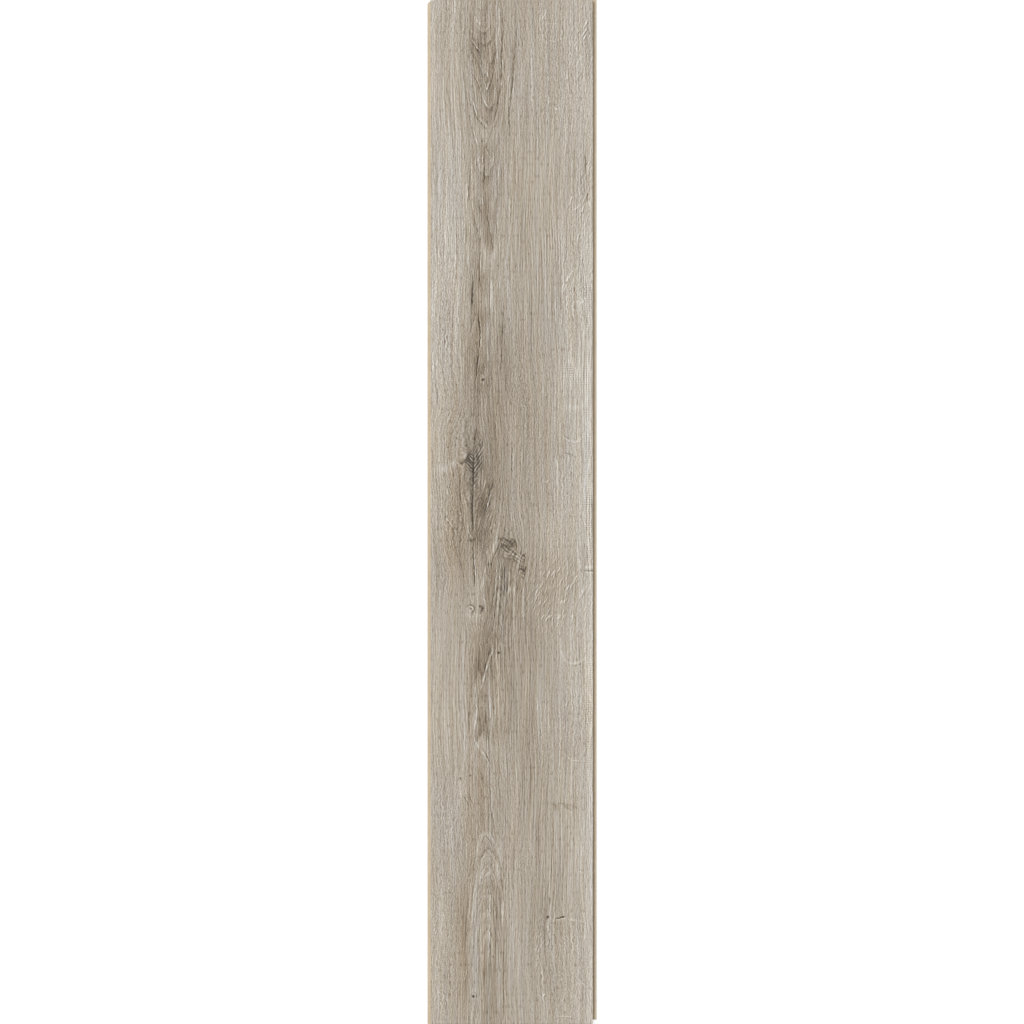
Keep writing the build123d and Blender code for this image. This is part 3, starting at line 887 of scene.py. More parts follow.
class Wiring:
    """A node tree with short ways to add nodes and join them."""

    def __init__(self, tree: bpy.types.NodeTree) -> None:
        """Takes the tree to work on."""
        self.tree = tree

    def node(self, kind: str, **settings: object) -> bpy.types.Node:
        """Adds a node.

        Args:
            kind: Its type.
            settings: Its properties.

        Returns:
            The node.
        """
        made = self.tree.nodes.new(kind)
        for name, value in settings.items():
            setattr(made, name, value)
        return made

    def feed(self, socket: bpy.types.NodeSocket, source: Source) -> None:
        """Joins a socket to a signal, or sets it to a constant.

        Args:
            socket: A node's input.
            source: What it gets.
        """
        if isinstance(source, Signal):
            self.tree.links.new(source.socket, socket)
        else:
            socket.default_value = source

    def add(self, kind: str, *sources: Source, **settings: object) -> Signal:
        """Adds a node, feeds its first inputs and gives its first output.

        Args:
            kind: Its type.
            sources: What the inputs get, in their order.
            settings: Its properties.

        Returns:
            The output.
        """
        made = self.node(kind, **settings)
        for socket, source in zip(made.inputs, sources):
            self.feed(socket, source)
        return Signal(self, made.outputs[0])

    def math(self, operation: str, *values: Source) -> Signal:
        """The result of a Math node."""
        return self.add("ShaderNodeMath", *values, operation=operation)

    def output(self, kind: str, name: str, **settings: object) -> Signal:
        """Adds a node and gives one of its outputs."""
        return Signal(self, self.node(kind, **settings).outputs[name])

    def split(self, vector: Signal) -> list[Signal]:
        """The three numbers of a vector."""
        made = self.add("ShaderNodeSeparateXYZ", vector).socket.node
        return [Signal(self, output) for output in made.outputs]

    def attribute(self, name: str) -> list[Signal]:
        """The three numbers that the mesh stores under a name."""
        return self.split(self.output("ShaderNodeAttribute", "Vector", attribute_name=name))

    def object_mm(self) -> list[Signal]:
        """The place on the board, in millimetres, as three values."""
        return [part * (1 / MM) for part in self.split(self.output("ShaderNodeTexCoord", "Object"))]

    def mixed(self, share: Source, first: Source, second: Source, blend: str = "MIX") -> Signal:
        """Mixes two colours.

        Args:
            share: How much of the second colour shows.
            first: A colour.
            second: Another colour.
            blend: How they are mixed.

        Returns:
            The mixed colour.
        """
        made = self.node("ShaderNodeMix", data_type="RGBA", blend_type=blend)
        for index, source in zip((0, 6, 7), (share, first, second)):
            self.feed(made.inputs[index], source)
        return Signal(self, made.outputs[2])

    def background_rays(self) -> Signal:
        """Tells the rays that show the background: from the camera, in gloss and through glass.

        Returns:
            1 for such rays and 0 for others.
        """
        path = self.node("ShaderNodeLightPath").outputs
        camera, gloss, glass = (
            Signal(self, path[f"Is {name} Ray"]) for name in ("Camera", "Glossy", "Transmission")
        )
        return self.math("MAXIMUM", self.math("MAXIMUM", camera, gloss), glass)


# A screen's tone curve, straight for the darkest tones and then a power
STRAIGHT_END = 0.04045
STRAIGHT_SLOPE = 12.92
CURVE_LIFT = 0.055
CURVE_POWER = 2.4


def linear(tone: float) -> float:
    """Turns a screen tone into linear light.

    Args:
        tone: The tone, 0 to 255.

    Returns:
        The light, 0 to 1.
    """
    share = tone / FULL_TONE
    if share <= STRAIGHT_END:
        return share / STRAIGHT_SLOPE
    return ((share + CURVE_LIFT) / (1 + CURVE_LIFT)) ** CURVE_POWER


def colour(red: float, green: float, blue: float) -> tuple:
    """A screen colour, 0 to 255 each, as Blender wants it."""
    return linear(red), linear(green), linear(blue), 1.0


def fibre_group() -> bpy.types.NodeTree:
    """Builds the node group for stretched fibres, which every finish of the board uses.

    Returns:
        The group. Its Value is a soft noise, and its other output is the same noise with painted side light:
        a lit side and a shaded side to each streak.
    """
    tree = bpy.data.node_groups.new("stretched_fibres", "ShaderNodeTree")
    inputs = {"Across": 0.0, "Along": 0.0, "Pitch": 1.0, "Length": 10.0, "Seed": 0.0, "Detail": 0.0,
              "Shift": 0.9}
    for name, default in inputs.items():
        socket = tree.interface.new_socket(name, in_out="INPUT", socket_type="NodeSocketFloat")
        socket.default_value = default
    for name in ("Value", "Edge"):
        tree.interface.new_socket(name, in_out="OUTPUT", socket_type="NodeSocketFloat")
    wiring = Wiring(tree)
    sockets = wiring.node("NodeGroupInput").outputs
    given = {name: Signal(wiring, sockets[name]) for name in inputs}
    along = given["Along"] / given["Length"]
    noises = []
    for side in (0.0, 1.0):
        across = (given["Across"] + given["Shift"] * side) / given["Pitch"]
        place = wiring.add("ShaderNodeCombineXYZ", across, along, given["Seed"])
        noise = wiring.node("ShaderNodeTexNoise")
        for name, source in (("Vector", place), ("Scale", 1.0), ("Detail", given["Detail"])):
            wiring.feed(noise.inputs[name], source)
        noises.append(Signal(wiring, noise.outputs[0]) * 2.0 - 1.0)
    out = wiring.node("NodeGroupOutput").inputs
    wiring.feed(out["Value"], noises[0])
    # painted side light: the noise less a copy shifted across, so each streak gets a lit side and a shaded
    # side
    wiring.feed(out["Edge"], noises[1] - noises[0])
    return tree


@dataclass(frozen=True)
class Fibres:
    """A layer of streaks.

    Args:
        pitch: Millimetres across the grain for one streak and its gap.
        length: Millimetres along the grain.
        seed: Picks the pattern.
        gain: Steps of tone at full strength, or the number that its user multiplies it by.
        relief: Millimetres of height at full strength.
        result: Value for soft streaks, or the group's other output for fine ones with a painted lit side and
            a painted shaded side.
        straight: How much stronger they are where the wood is straight.
        detail: Finer and finer noise that is added.
    """

    pitch: float
    length: float
    seed: float
    gain: float = 1.0
    relief: float = 0.0
    result: str = "Value"
    straight: float = 0.0
    detail: float = 0.0

    def shown(self, strength: Signal) -> Effect:
        """The tone and the height that the layer has at a strength."""
        return strength * self.gain, strength * self.relief


class FinishWiring(Wiring):
    """The wiring of one finish, round its Principled shader."""

    def __init__(self, name: str, fibres: bpy.types.NodeTree | None = None) -> None:
        """Makes the finish's material.

        Args:
            name: The material's name.
            fibres: The group for stretched fibres, where the finish uses it.
        """
        self.material = bpy.data.materials.new(name)
        self.material.use_nodes = True
        super().__init__(self.material.node_tree)
        self.shader = self.tree.nodes["Principled BSDF"]
        self.fibres = fibres

    def streaks(self, layer: Fibres, across: Source, along: Source) -> Signal:
        """Places the fibre group.

        Args:
            layer: Whose values it gets.
            across: Millimetres across the grain.
            along: Millimetres along it.

        Returns:
            The layer's pattern, about -1 to 1.
        """
        made = self.node("ShaderNodeGroup", node_tree=self.fibres)
        values = {"Across": across, "Along": along, "Pitch": layer.pitch, "Length": layer.length,
                  "Seed": layer.seed, "Detail": layer.detail}
        for name, value in values.items():
            self.feed(made.inputs[name], value)
        return Signal(self, made.outputs[layer.result])

    def scaled_streaks(self, layer: Fibres, across: Source, along: Source) -> Signal:
        """The layer's pattern times its gain."""
        return self.streaks(layer, across, along) * layer.gain

    def dress(self, base_colour: Source, roughness: Source, height: Signal | None = None) -> None:
        """Feeds the shader.

        Args:
            base_colour: The finish's colour.
            roughness: Its roughness.
            height: Its relief, in millimetres, if it has any.
        """
        self.feed(self.shader.inputs["Base Color"], base_colour)
        self.feed(self.shader.inputs["Roughness"], roughness)
        if height:
            bump = self.node("ShaderNodeBump")
            self.feed(bump.inputs["Distance"], MM)
            self.feed(bump.inputs["Height"], height)
            self.feed(self.shader.inputs["Normal"], Signal(self, bump.outputs[0]))


@dataclass(frozen=True)
class OakDecor:
    """The printed and embossed oak face.

    A layer's gain is in steps of tone where no other is named. Pairs are the values between which a
    texture sets in.
    """

    wiring: FinishWiring
    base_tone: float = 160.5
    roughness: float = 0.5
    hollow_dullness: float = -1.2  # roughness that a millimetre of height adds
    tones: tuple = (
        (60, (63, 53, 41)),
        (78, (90, 78, 63)),
        (110, (123, 110, 92)),
        (132, (145, 132, 114)),
        (148, (159, 147, 131)),
        (163, (172, 162, 148)),
        (177, (184, 176, 163)),
        (190, (196, 189, 178)),
        (205, (208, 204, 195)),
        (235, (235, 232, 226)),
    )
    warm_streaks: Fibres = Fibres(5.5, 150, 71, 7.5)
    warm_flecks: Fibres = Fibres(2.2, 14, 75, 1.5)
    red_tint: Row = (0.0055, 1.007)  # for each step of warmth, and without any
    blue_tint: Row = (-0.010, 0.992)

    # The first three layers paint side light into the tone, with a lit and a shaded side to each streak
    layers: tuple[Fibres, ...] = (
        Fibres(1.5, 62, 1.7, 26, 0.04, "Edge", 0.6),
        Fibres(1.4, 14, 5.3, 22, 0.05, "Edge"),
        Fibres(1.4, 3.2, 9.1, 20, 0.04, "Edge", -0.75),
        Fibres(1.6, 1.6, 11.1, 15, 0.03, "Value", -0.75),
        Fibres(3.4, 80, 13.9, 14, 0.04),
        Fibres(8, 150, 17.2, 10),
    )
    straying: Fibres = Fibres(4.5, 7, 19, 1.5)  # gain in millimetres
    calm_straying: float = 0.2  # share of it where the wood is calm

    ring_layers: tuple[Fibres, ...] = (Fibres(0.45, 24, 29, 24, 0.05), Fibres(1.4, 140, 31, 18, 0.03))
    ring_shift: Fibres = Fibres(3, 16, 21, 0.16)  # gain in rings
    ring_breaks: Fibres = Fibres(2.2, 22, 27, 1.2)  # gain in shares, as the breaks below are
    ring_unbroken: float = 0.85
    ring_start: Row = (0.0, 0.30)
    ring_end: Row = (0.62, 0.96)
    ring_end_share: float = 0.8
    ring_tone: float = 20.0
    ring_height: float = 0.05

    pores: Fibres = Fibres(1.1, 7, 33, -24, -0.05)
    pore_edge: Row = (0.2, 0.5)
    torn: Fibres = Fibres(1.5, 1.9, 41, 34, 0.06, detail=1)
    torn_share: Row = (0.72, 0.28)  # in rough places beyond elsewhere, and everywhere

    flecks: Fibres = Fibres(2.5, 8.5, 52, 44, 0.08)
    fleck_lean: float = 0.42
    fleck_edge: Row = (0.16, 0.4)
    fleck_shadow: Row = (-0.9, 0.7, 0.75)  # painted shadow on the flecks' lower right side: across, down and share
    fleck_clusters: Fibres = Fibres(15, 22, 55, 0.75)
    cluster_edge: Row = (-0.5, 0.5)
    fleck_least: float = 0.4

    column_pitch: float = 3.1
    column_edge: Row = (-0.3, 0.8)
    pore_pitch: float = 2.7
    column_pore_edge: Row = (-0.5, 0.7)
    column_breaks: Fibres = Fibres(5, 22, 91, 1.6)
    column_unbroken: float = 0.7
    column_tones: Row = (-92.0, 19.0)  # of the pores, and of the wood between them
    column_height: float = -0.06

    fan_rise: Row = (0.55, 0.95)  # right of the crack beyond left of it, and everywhere
    fan_widening: float = -0.34  # how much wider its stripes are on the right
    fan_shift: Fibres = Fibres(7.5, 8, 96, 2.2)  # gain in millimetres
    fan_pitch: float = 3.8
    fan_bold: Fibres = Fibres(3, 5.5, 97, 1.2)
    fan_bold_edge: Row = (-0.4, 0.4)
    fan_faint: float = 0.3
    fan_edge: Row = (-0.7, 0.7)
    fan_tone: float = 92.0
    fan_height: float = 0.15

    # Across, down, pitch and share of each set of strands
    braid: tuple[Row, ...] = ((0.58, 0.81, 3.6, 0.66), (0.83, -0.55, 4.6, 0.56))
    braid_shift: Fibres = Fibres(7, 7, 99, 1.6)  # gain in millimetres
    braid_edge: Row = (-0.6, 0.7)
    braid_tone: float = 68.0
    braid_height: float = 0.12
    stripe_middle: float = 0.6  # share of a stripe that adds no tone, in the fan and the braid

    line_gains: tuple = (("dark_line", 1.8), ("pale_line", 1.95))
    mark_gains: tuple = (("dot", 1.3), ("curl", 1.02))
    line_breaks: Fibres = Fibres(6, 7, 81)
    line_least: float = 0.3
    line_wobble: Fibres = Fibres(4, 5, 85, 0.9)  # gain in millimetres
    painted_side_strength: float = 0.5  # how strongly a fine line's side away from the light shows the other way: a painted shadow beside pale lines, a painted highlight beside dark ones
    painted_side_gap: float = 1.25  # millimetres from a fine line to the painted side light beside it
    line_spread: float = 1.7  # widths from a fine line's middle to where it ends
    mark_core: float = 0.2  # widths from a mark's middle to where it starts to fade
    line_height: float = 0.0035  # millimetres for each step of tone

    def material(self) -> bpy.types.Material:
        """Builds the finish.

        Returns:
            The material.
        """
        net = self.wiring
        across, along, _ = net.attribute("grain")
        tone, warmth, _ = net.attribute("tone")
        textures = (self._streaks, self._rings, self._pores, self._torn, self._flecks, self._columns,
                    self._fan, self._braid, self._lines)
        tones, heights = zip(*(texture() for texture in textures))
        height = sum(heights)
        warmth += net.scaled_streaks(self.warm_streaks, across, along)
        warmth += net.scaled_streaks(self.warm_flecks, across, along)
        red, blue = (warmth * each + usual for each, usual in (self.red_tint, self.blue_tint))
        tint = net.add("ShaderNodeCombineXYZ", red, 1.0, blue)
        print_colour = self._printed(sum(tones, tone + self.base_tone) + self._marks())
        net.dress(net.mixed(1.0, print_colour, tint, "MULTIPLY"),
                  height * self.hollow_dullness + self.roughness, height)
        return net.material

    def _printed(self, tone: Signal) -> Signal:
        """Turns steps of tone into the colours that are printed for them.

        Args:
            tone: Steps of tone.

        Returns:
            The colour.
        """
        ramp = self.wiring.add("ShaderNodeValToRGB", tone / FULL_TONE)
        stops = ramp.socket.node.color_ramp.elements
        while len(stops) < len(self.tones):
            stops.new(0.5)
        for stop, (place, screen) in zip(stops, self.tones):
            stop.position = place / FULL_TONE
            stop.color = colour(*screen)
        return ramp

    def _streaks(self) -> Effect:
        """Streaks of every size, which stray where the wood is rough; the finest carry painted side light and
        shade.

        Returns:
            Their tone and height.
        """
        net = self.wiring
        across, along, _ = net.attribute("grain")
        _, liveliness, straight = net.attribute("braid")
        rough = net.attribute("texture")[1]
        straying = net.scaled_streaks(self.straying, across, along) * (rough + self.calm_straying)
        tones, heights = zip(*(
            layer.shown(
                net.streaks(layer, across + straying, along) * (straight * layer.straight + 1.0) * liveliness
            )
            for layer in self.layers
        ))
        return sum(tones), sum(heights)

    def _rings(self) -> Effect:
        """Growth rings: a dark porous start and a pale, raised end to each.

        Returns:
            Their tone and height.
        """
        net = self.wiring
        across, along, rings = net.attribute("grain")
        share = net.attribute("tone")[2]
        turn = net.math("FRACT", net.scaled_streaks(self.ring_shift, across, along) + rings)
        late = turn.step(*self.ring_end) * self.ring_end_share - (1 - turn.step(*self.ring_start))
        unbroken = net.scaled_streaks(self.ring_breaks, across, along) + self.ring_unbroken
        figure = late * share * unbroken
        tone, height = figure * self.ring_tone, figure * self.ring_height
        for layer in self.ring_layers:
            layer_tone, layer_height = layer.shown(net.streaks(layer, rings, along) * share)
            tone, height = tone + layer_tone, height + layer_height
        return tone, height

    def _pores(self) -> Effect:
        """Open pores: short dark dashes, pressed in.

        Returns:
            Their tone and height.
        """
        across, along, _ = self.wiring.attribute("grain")
        return self.pores.shown(self.wiring.streaks(self.pores, across, along).step(*self.pore_edge))

    def _torn(self) -> Effect:
        """Fibres that were torn across, above all in the rough places.

        Returns:
            Their tone and height.
        """
        across, along, _ = self.wiring.attribute("grain")
        rough, least = self.torn_share
        share = self.wiring.attribute("texture")[1] * rough + least
        return self.torn.shown(self.wiring.streaks(self.torn, across, along) * share)

    def _flecks(self) -> Effect:
        """Pale slanting flecks, raised, of cut wood rays, each with a painted shadow on its lower right side.

        Returns:
            Their tone and height.
        """
        net = self.wiring
        across, down, _ = net.object_mm()
        shift_across, shift_down, shadow = self.fleck_shadow
        flecks = []
        for right, up in ((0.0, 0.0), (shift_across, shift_down)):
            along = down + up
            value = net.streaks(self.flecks, across + right - along * self.fleck_lean, along)
            flecks.append(value.step(*self.fleck_edge))
        clusters = net.streaks(self.fleck_clusters, across, down).step(*self.cluster_edge)
        amount = net.attribute("texture")[0] * (clusters * self.fleck_clusters.gain + self.fleck_least)
        # a darker, shifted copy of the flecks is their painted shadow; the height keeps only the flecks
        lit = flecks[0] - flecks[1] * shadow
        return self.flecks.shown(lit * amount)[0], self.flecks.shown(flecks[0] * amount)[1]

    def _columns(self) -> Effect:
        """Fine dotted pores that stand in columns near the right edge.

        Returns:
            Their tone and height.
        """
        net = self.wiring
        across, down, _ = net.object_mm()
        amount = net.attribute("texture")[2]
        columns = across.wave(self.column_pitch).step(*self.column_edge)
        dots = down.wave(self.pore_pitch).step(*self.column_pore_edge)
        unbroken = net.scaled_streaks(self.column_breaks, across, down) + self.column_unbroken
        pores = columns * dots * amount * unbroken
        pore_tone, wood_tone = self.column_tones
        return pores * pore_tone + amount * wood_tone, pores * self.column_height

    def _fan(self) -> Effect:
        """Torn fibres that fan out and up on both sides of the crack through the dark knot.

        Returns:
            Their tone and height.
        """
        net = self.wiring
        down, beside, amount = net.attribute("fan")
        right = beside.step(-1.0, 1.0)
        steeper, rise = self.fan_rise
        root = down + beside.size() * (right * steeper + rise)
        root += net.scaled_streaks(self.fan_shift, beside, down)
        stripes = (root * (right * self.fan_widening + 1.0)).wave(self.fan_pitch).step(*self.fan_edge)
        bold = net.streaks(self.fan_bold, root, beside).step(*self.fan_bold_edge)
        strength = amount * (bold * self.fan_bold.gain + self.fan_faint)
        figure = (stripes - self.stripe_middle) * strength
        return figure * self.fan_tone, figure * self.fan_height

    def _braid(self) -> Effect:
        """Fibres that cross each other like a braid, over the arched knot.

        Returns:
            Their tone and height.
        """
        net = self.wiring
        across, down, _ = net.object_mm()
        shift = net.scaled_streaks(self.braid_shift, across, down)
        strands = sum(
            (across * right + down * up + shift).wave(pitch) * share for right, up, pitch, share in self.braid
        )
        figure = (strands.step(*self.braid_edge) - self.stripe_middle) * net.attribute("braid")[0]
        return figure * self.braid_tone, figure * self.braid_height

    def _lines(self) -> Effect:
        """Fine lines, each with painted side light beside it: a painted shadow beside a pale line and a
        painted highlight beside a dark one.

        Returns:
            Their tone and height.
        """
        net = self.wiring
        across, along, _ = net.attribute("grain")
        breaks = net.scaled_streaks(self.line_breaks, across, along)
        unbroken = net.math("MAXIMUM", breaks + 1.0, self.line_least)
        wobble = net.scaled_streaks(self.line_wobble, across, along)
        tones = []
        for name, gain in self.line_gains:
            offset, shade, width = net.attribute(name)
            offset += wobble
            # the far side is painted side light, away from the light at the upper left
            near, far = (
                1 - (distance.size() / width).step(0.0, self.line_spread)
                for distance in (offset, offset - self.painted_side_gap)
            )
            tones.append(shade * (near - far * self.painted_side_strength) * unbroken * gain)
        tone = sum(tones)
        return tone, tone * self.line_height

    def _marks(self) -> Signal:
        """Round dots and curls.

        Returns:
            Their tone.
        """
        tones = []
        for name, gain in self.mark_gains:
            gap, shade, width = self.wiring.attribute(name)
            mark = 1 - (gap.size() / width).step(self.mark_core, self.line_spread)
            tones.append(mark * shade * gain)
        return sum(tones)


@dataclass(frozen=True)
class FibreCore:
    """The milled edges: bare brown fibreboard. A layer's gain is its share of the pale colour."""

    wiring: FinishWiring
    pale: tuple = (210, 196, 172)
    dark: tuple = (184, 166, 138)
    pale_share: float = 0.62
    specks: Fibres = Fibres(0.5, 0.35, 3, 0.5, 0.02, detail=2)
    layers: Fibres = Fibres(0.45, 14, 8, 0.22)
    clouds: Fibres = Fibres(22, 9, 5, 0.25)
    slope: float = 0.7  # of the specks and clouds, so that they differ from side to side
    middle: float = 4.0  # its height in the board
    skin: Row = (2.4, 4.0)  # distances from the middle between which the board is denser and darker
    skin_share: float = -0.3
    cutter_pitch: float = 1.4
    cutter_height: float = 0.004
    roughness: float = 0.62
    speck_roughness: float = 0.1

    def material(self) -> bpy.types.Material:
        """Builds the finish.

        Returns:
            The material.
        """
        net = self.wiring
        x, y, z = net.object_mm()
        along, lower = x + y, x * self.slope + z
        specks = net.streaks(self.specks, along, lower)
        share = specks * self.specks.gain + net.scaled_streaks(self.layers, z, along)
        share += net.scaled_streaks(self.clouds, along, lower) + self.pale_share
        share += (z - self.middle).size().step(*self.skin) * self.skin_share
        height = specks * self.specks.relief + along.wave(self.cutter_pitch) * self.cutter_height
        net.dress(net.mixed(share, colour(*self.dark), colour(*self.pale)),
                  specks * self.speck_roughness + self.roughness, height)
        return net.material


@dataclass(frozen=True)
class BackingPaper:
    """The underside: a pale balancing paper, pressed on. A layer's gain is its share of the pale colour."""

    wiring: FinishWiring
    pale: tuple = (214, 206, 188)
    dark: tuple = (188, 178, 156)
    pale_share: float = 0.55
    clouds: Fibres = Fibres(9, 14, 61, 0.5, detail=3)
    specks: Fibres = Fibres(0.6, 1.4, 66, 0.35, 0.01, detail=1)
    roughness: float = 0.55
    cloud_roughness: float = 0.12

    def material(self) -> bpy.types.Material:
        """Builds the finish.

        Returns:
            The material.
        """
        net = self.wiring
        x, y, _ = net.object_mm()
        clouds, specks = (net.streaks(layer, x, y) for layer in (self.clouds, self.specks))
        share = clouds * self.clouds.gain + specks * self.specks.gain + self.pale_share
        net.dress(net.mixed(share, colour(*self.dark), colour(*self.pale)),
                  clouds * self.cloud_roughness + self.roughness, specks * self.specks.relief)
        return net.material


@dataclass(frozen=True)
class FlatMap:
    """Where the board's faces lie on its flat map, as shares of the map's width and height."""

    margin: float = 0.005
    tall: float = 0.99
    decor_wide: float = 0.41
    decor_step: float = 0.42  # from the decor's far half to its near half
    back_start: float = 0.845
    back_wide: float = 0.06
    edge_start: float = 0.915
    edge_side_step: float = 0.02  # from the left edges to the right ones
    edge_half_step: float = 0.04  # from the far halves to the near ones
    edge_wide: float = 1.6  # for each metre round an edge
    edge_fold: float = 0.01  # metres after which an edge starts again

    def place(self, finish: Finish, across: float, along: float, near: bool, right: bool, fold: float) -> Row:
        """Finds where a corner of a face lies.

        Args:
            finish: The face's finish.
            across: Share of the board's width.
            along: Share of the board's length, or of the half that the face is on.
            near: True on the near half.
            right: True on the right half.
            fold: Metres round the edge's outline.

        Returns:
            The place on the map.
        """
        if finish is Finish.DECOR:
            u = self.margin + self.decor_wide * across + self.decor_step * near
        elif finish is Finish.BACKING:
            u = self.back_start + self.back_wide * across
        else:
            u = self.edge_start + self.edge_side_step * right + self.edge_half_step * near
            u += self.edge_wide * (fold % self.edge_fold)
        return u, self.margin + self.tall * along


@dataclass
class Plank:
    """The board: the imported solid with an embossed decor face, bare edges and a papered back."""

    face: DecorFace
    row_steps: Row = (4.4, 1.15, 0.75)  # elsewhere, where the marks are fine, and where they are finest
    fine_rows: Points = ((441, 449), (508, 566), (619, 680), (704, 722), (762, 768), (905, 916), (938, 952),
                         (977, 990), (1071, 1079), (1117, 1124), (1162, 1172))
    finest_rows: Points = ((528, 560), (629, 659))
    column_steps: Row = (1.35, 0.7)
    fine_columns: Points = ((30, 114),)
    eased_edge: float = 0.35  # millimetres under the decor face that count as its rim
    sunk: float = 0.01
    relief_fade: Row = (0.3, 1.5)  # millimetres from the rim between which the relief sets in
    skin: float = 0.2
    weld: float = TINY  # metres
    flat_angle: float = 0.5  # degrees under which the solid's triangles are one flat face
    sharp_angle: float = 28.0
    facing_up: float = 0.5
    facing_down: float = -0.99
    straight: float = 0.999
    upright: float = 0.7

    def places(self, length: float, steps: Row, *stretches: Points) -> Array:
        """Millimetres along one side of the face at which it is divided, closer where its marks are fine.

        Args:
            length: The side's length.
            steps: Step elsewhere, and step on each kind of fine stretch.
            stretches: Starts and ends of each kind of fine stretch, the finest last.

        Returns:
            The places, from 0 to the length.
        """
        places = [0.0]
        while places[-1] < length:
            step = steps[0]
            for fine_step, kind in zip(steps[1:], stretches):
                if any(start <= places[-1] < end for start, end in kind):
                    step = fine_step
            places.append(places[-1] + step)
        return np.array(places) * length / places[-1]

    def build(self) -> bpy.types.Object:
        """Makes the board's mesh, dresses it and puts it in place of its solid.

        Returns:
            The finished piece.
        """
        shape = bmesh.new()
        shape.from_mesh(frame["nodes"][PLANK_NODE].data)
        bmesh.ops.remove_doubles(shape, verts=shape.verts, dist=self.weld)
        bmesh.ops.dissolve_limit(
            shape, angle_limit=math.radians(self.flat_angle), verts=shape.verts, edges=shape.edges
        )
        self._sort_faces(shape)
        self._divide(shape)
        mesh = bpy.data.meshes.new("plank_board")
        shape.to_mesh(mesh)
        shape.free()
        self._emboss(mesh)
        self._map(mesh)
        board = bpy.data.objects.new("plank_board", mesh)
        bpy.context.scene.collection.objects.link(board)
        self._dress(board)
        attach(board, "root")
        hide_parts(PLANK_NODE)
        return board

    def _sort_faces(self, shape: bmesh.types.BMesh) -> None:
        """Gives each face its finish.

        Args:
            shape: The board.
        """
        for part in shape.faces:
            height = part.calc_center_median().z
            finish = Finish.CORE
            if part.normal.z > self.facing_up and height > self._rim():
                finish = Finish.DECOR
            elif part.normal.z < self.facing_down and height < self.skin * MM:
                finish = Finish.BACKING
            part.material_index = finish.value

    def _rim(self) -> float:
        """Height above which a point belongs to the decor face."""
        return self.face.top - self.eased_edge * MM

    def _divide(self, shape: bmesh.types.BMesh) -> None:
        """Divides the decor face into a fine grid, its rows closer where the marks are fine.

        Args:
            shape: The board.
        """
        width, length = 2 * self.face.half_width / MM, 2 * self.face.half_length / MM
        columns = self.places(width, self.column_steps, self.fine_columns)
        rows = self.places(length, self.row_steps, self.fine_rows, self.finest_rows)
        long_edges = self._decor_edges(shape, lambda way: abs(way.y) > self.straight)
        bmesh.ops.subdivide_edges(shape, edges=long_edges, cuts=len(rows) - 2)
        cross_edges = self._decor_edges(shape, lambda way: abs(way.x) > self.straight)
        bmesh.ops.subdivide_edges(shape, edges=cross_edges, cuts=len(columns) - 2)
        for vert in shape.verts:
            if vert.co.z > self._rim():
                vert.co.x = self._graded(vert.co.x, columns * MM - self.face.half_width)
                vert.co.y = -self._graded(-vert.co.y, rows * MM - self.face.half_length)
        log.info("decor grid: %d rows and %d columns", len(rows) - 1, len(columns) - 1)

    def _graded(self, place: float, places: Array) -> float:
        """Moves an evenly spaced division to its own place; the rim's divisions stay.

        Args:
            place: Where it is, in metres.
            places: Where the divisions belong.

        Returns:
            Where it belongs.
        """
        rim = places[-1] - self.eased_edge * MM
        if abs(place) > rim:
            return place
        even = np.linspace(-rim, rim, len(places) - 2)
        return float(np.interp(place, even, np.concatenate([[-rim], places[2:-2], [rim]])))

    def _decor_edges(self, shape: bmesh.types.BMesh, wanted: Callable) -> list:
        """Finds the decor faces' edges that run a wanted way.

        Args:
            shape: The board.
            wanted: Tells whether a direction is wanted.

        Returns:
            The edges.
        """
        decor = (part for part in shape.faces if part.material_index == Finish.DECOR.value)
        found = {edge for part in decor for edge in part.edges}
        return [edge for edge in found if wanted((edge.verts[1].co - edge.verts[0].co).normalized())]

    def _emboss(self, mesh: bpy.types.Mesh) -> None:
        """Stores the figure's fields on the mesh and presses its relief into the face.

        Args:
            mesh: The divided board.
        """
        places = np.zeros(len(mesh.vertices) * 3)
        mesh.vertices.foreach_get("co", places)
        places = places.reshape(-1, 3)
        decor = np.flatnonzero(places[:, 2] > self._rim())
        x, y, height = places[decor].T
        field = GrainField(self.face.across(x), self.face.down(y))
        dark, pale = field.lines(DARK_LINES), field.lines(PALE_LINES)
        for name, values in field.stored(dark, pale).items():
            whole = np.zeros(places.shape, np.float32)
            whole[decor] = values
            mesh.attributes.new(name, "FLOAT_VECTOR", "POINT").data.foreach_set("vector", whole.ravel())
        fade = ease(self.face.inside(x, y), *self.relief_fade) * (height > self.face.top - TINY)
        depth = (np.maximum(field.relief(dark, pale), 0) + self.sunk) * fade
        places[decor, 2] -= depth * MM
        mesh.vertices.foreach_set("co", places.ravel())
        mesh.update()
        log.info("relief: up to %.2f mm deep", depth.max())

    def _map(self, mesh: bpy.types.Mesh) -> None:
        """Lays the faces out flat, with most of the room for the decor.

        Args:
            mesh: The embossed board.
        """
        layer, flat = mesh.uv_layers.new(name="OFBake"), FlatMap()
        half_width, half_length = CAD_BOX[1].x, CAD_BOX[1].y
        for part in mesh.polygons:
            finish = Finish(part.material_index)
            right, near = part.center.x > 0, part.center.y < 0
            start, run = half_length * near, half_length
            if finish is Finish.BACKING:
                start, run = half_length, 2 * half_length
            for corner in part.loop_indices:
                place = mesh.vertices[mesh.loops[corner].vertex_index].co
                across, along = (place.x + half_width) / (2 * half_width), (place.y + start) / run
                upright = abs(part.normal.z) < self.upright
                fold = place.z if upright else abs(place.x) + abs(place.y)
                layer.data[corner].uv = flat.place(finish, across, along, near, right, fold)

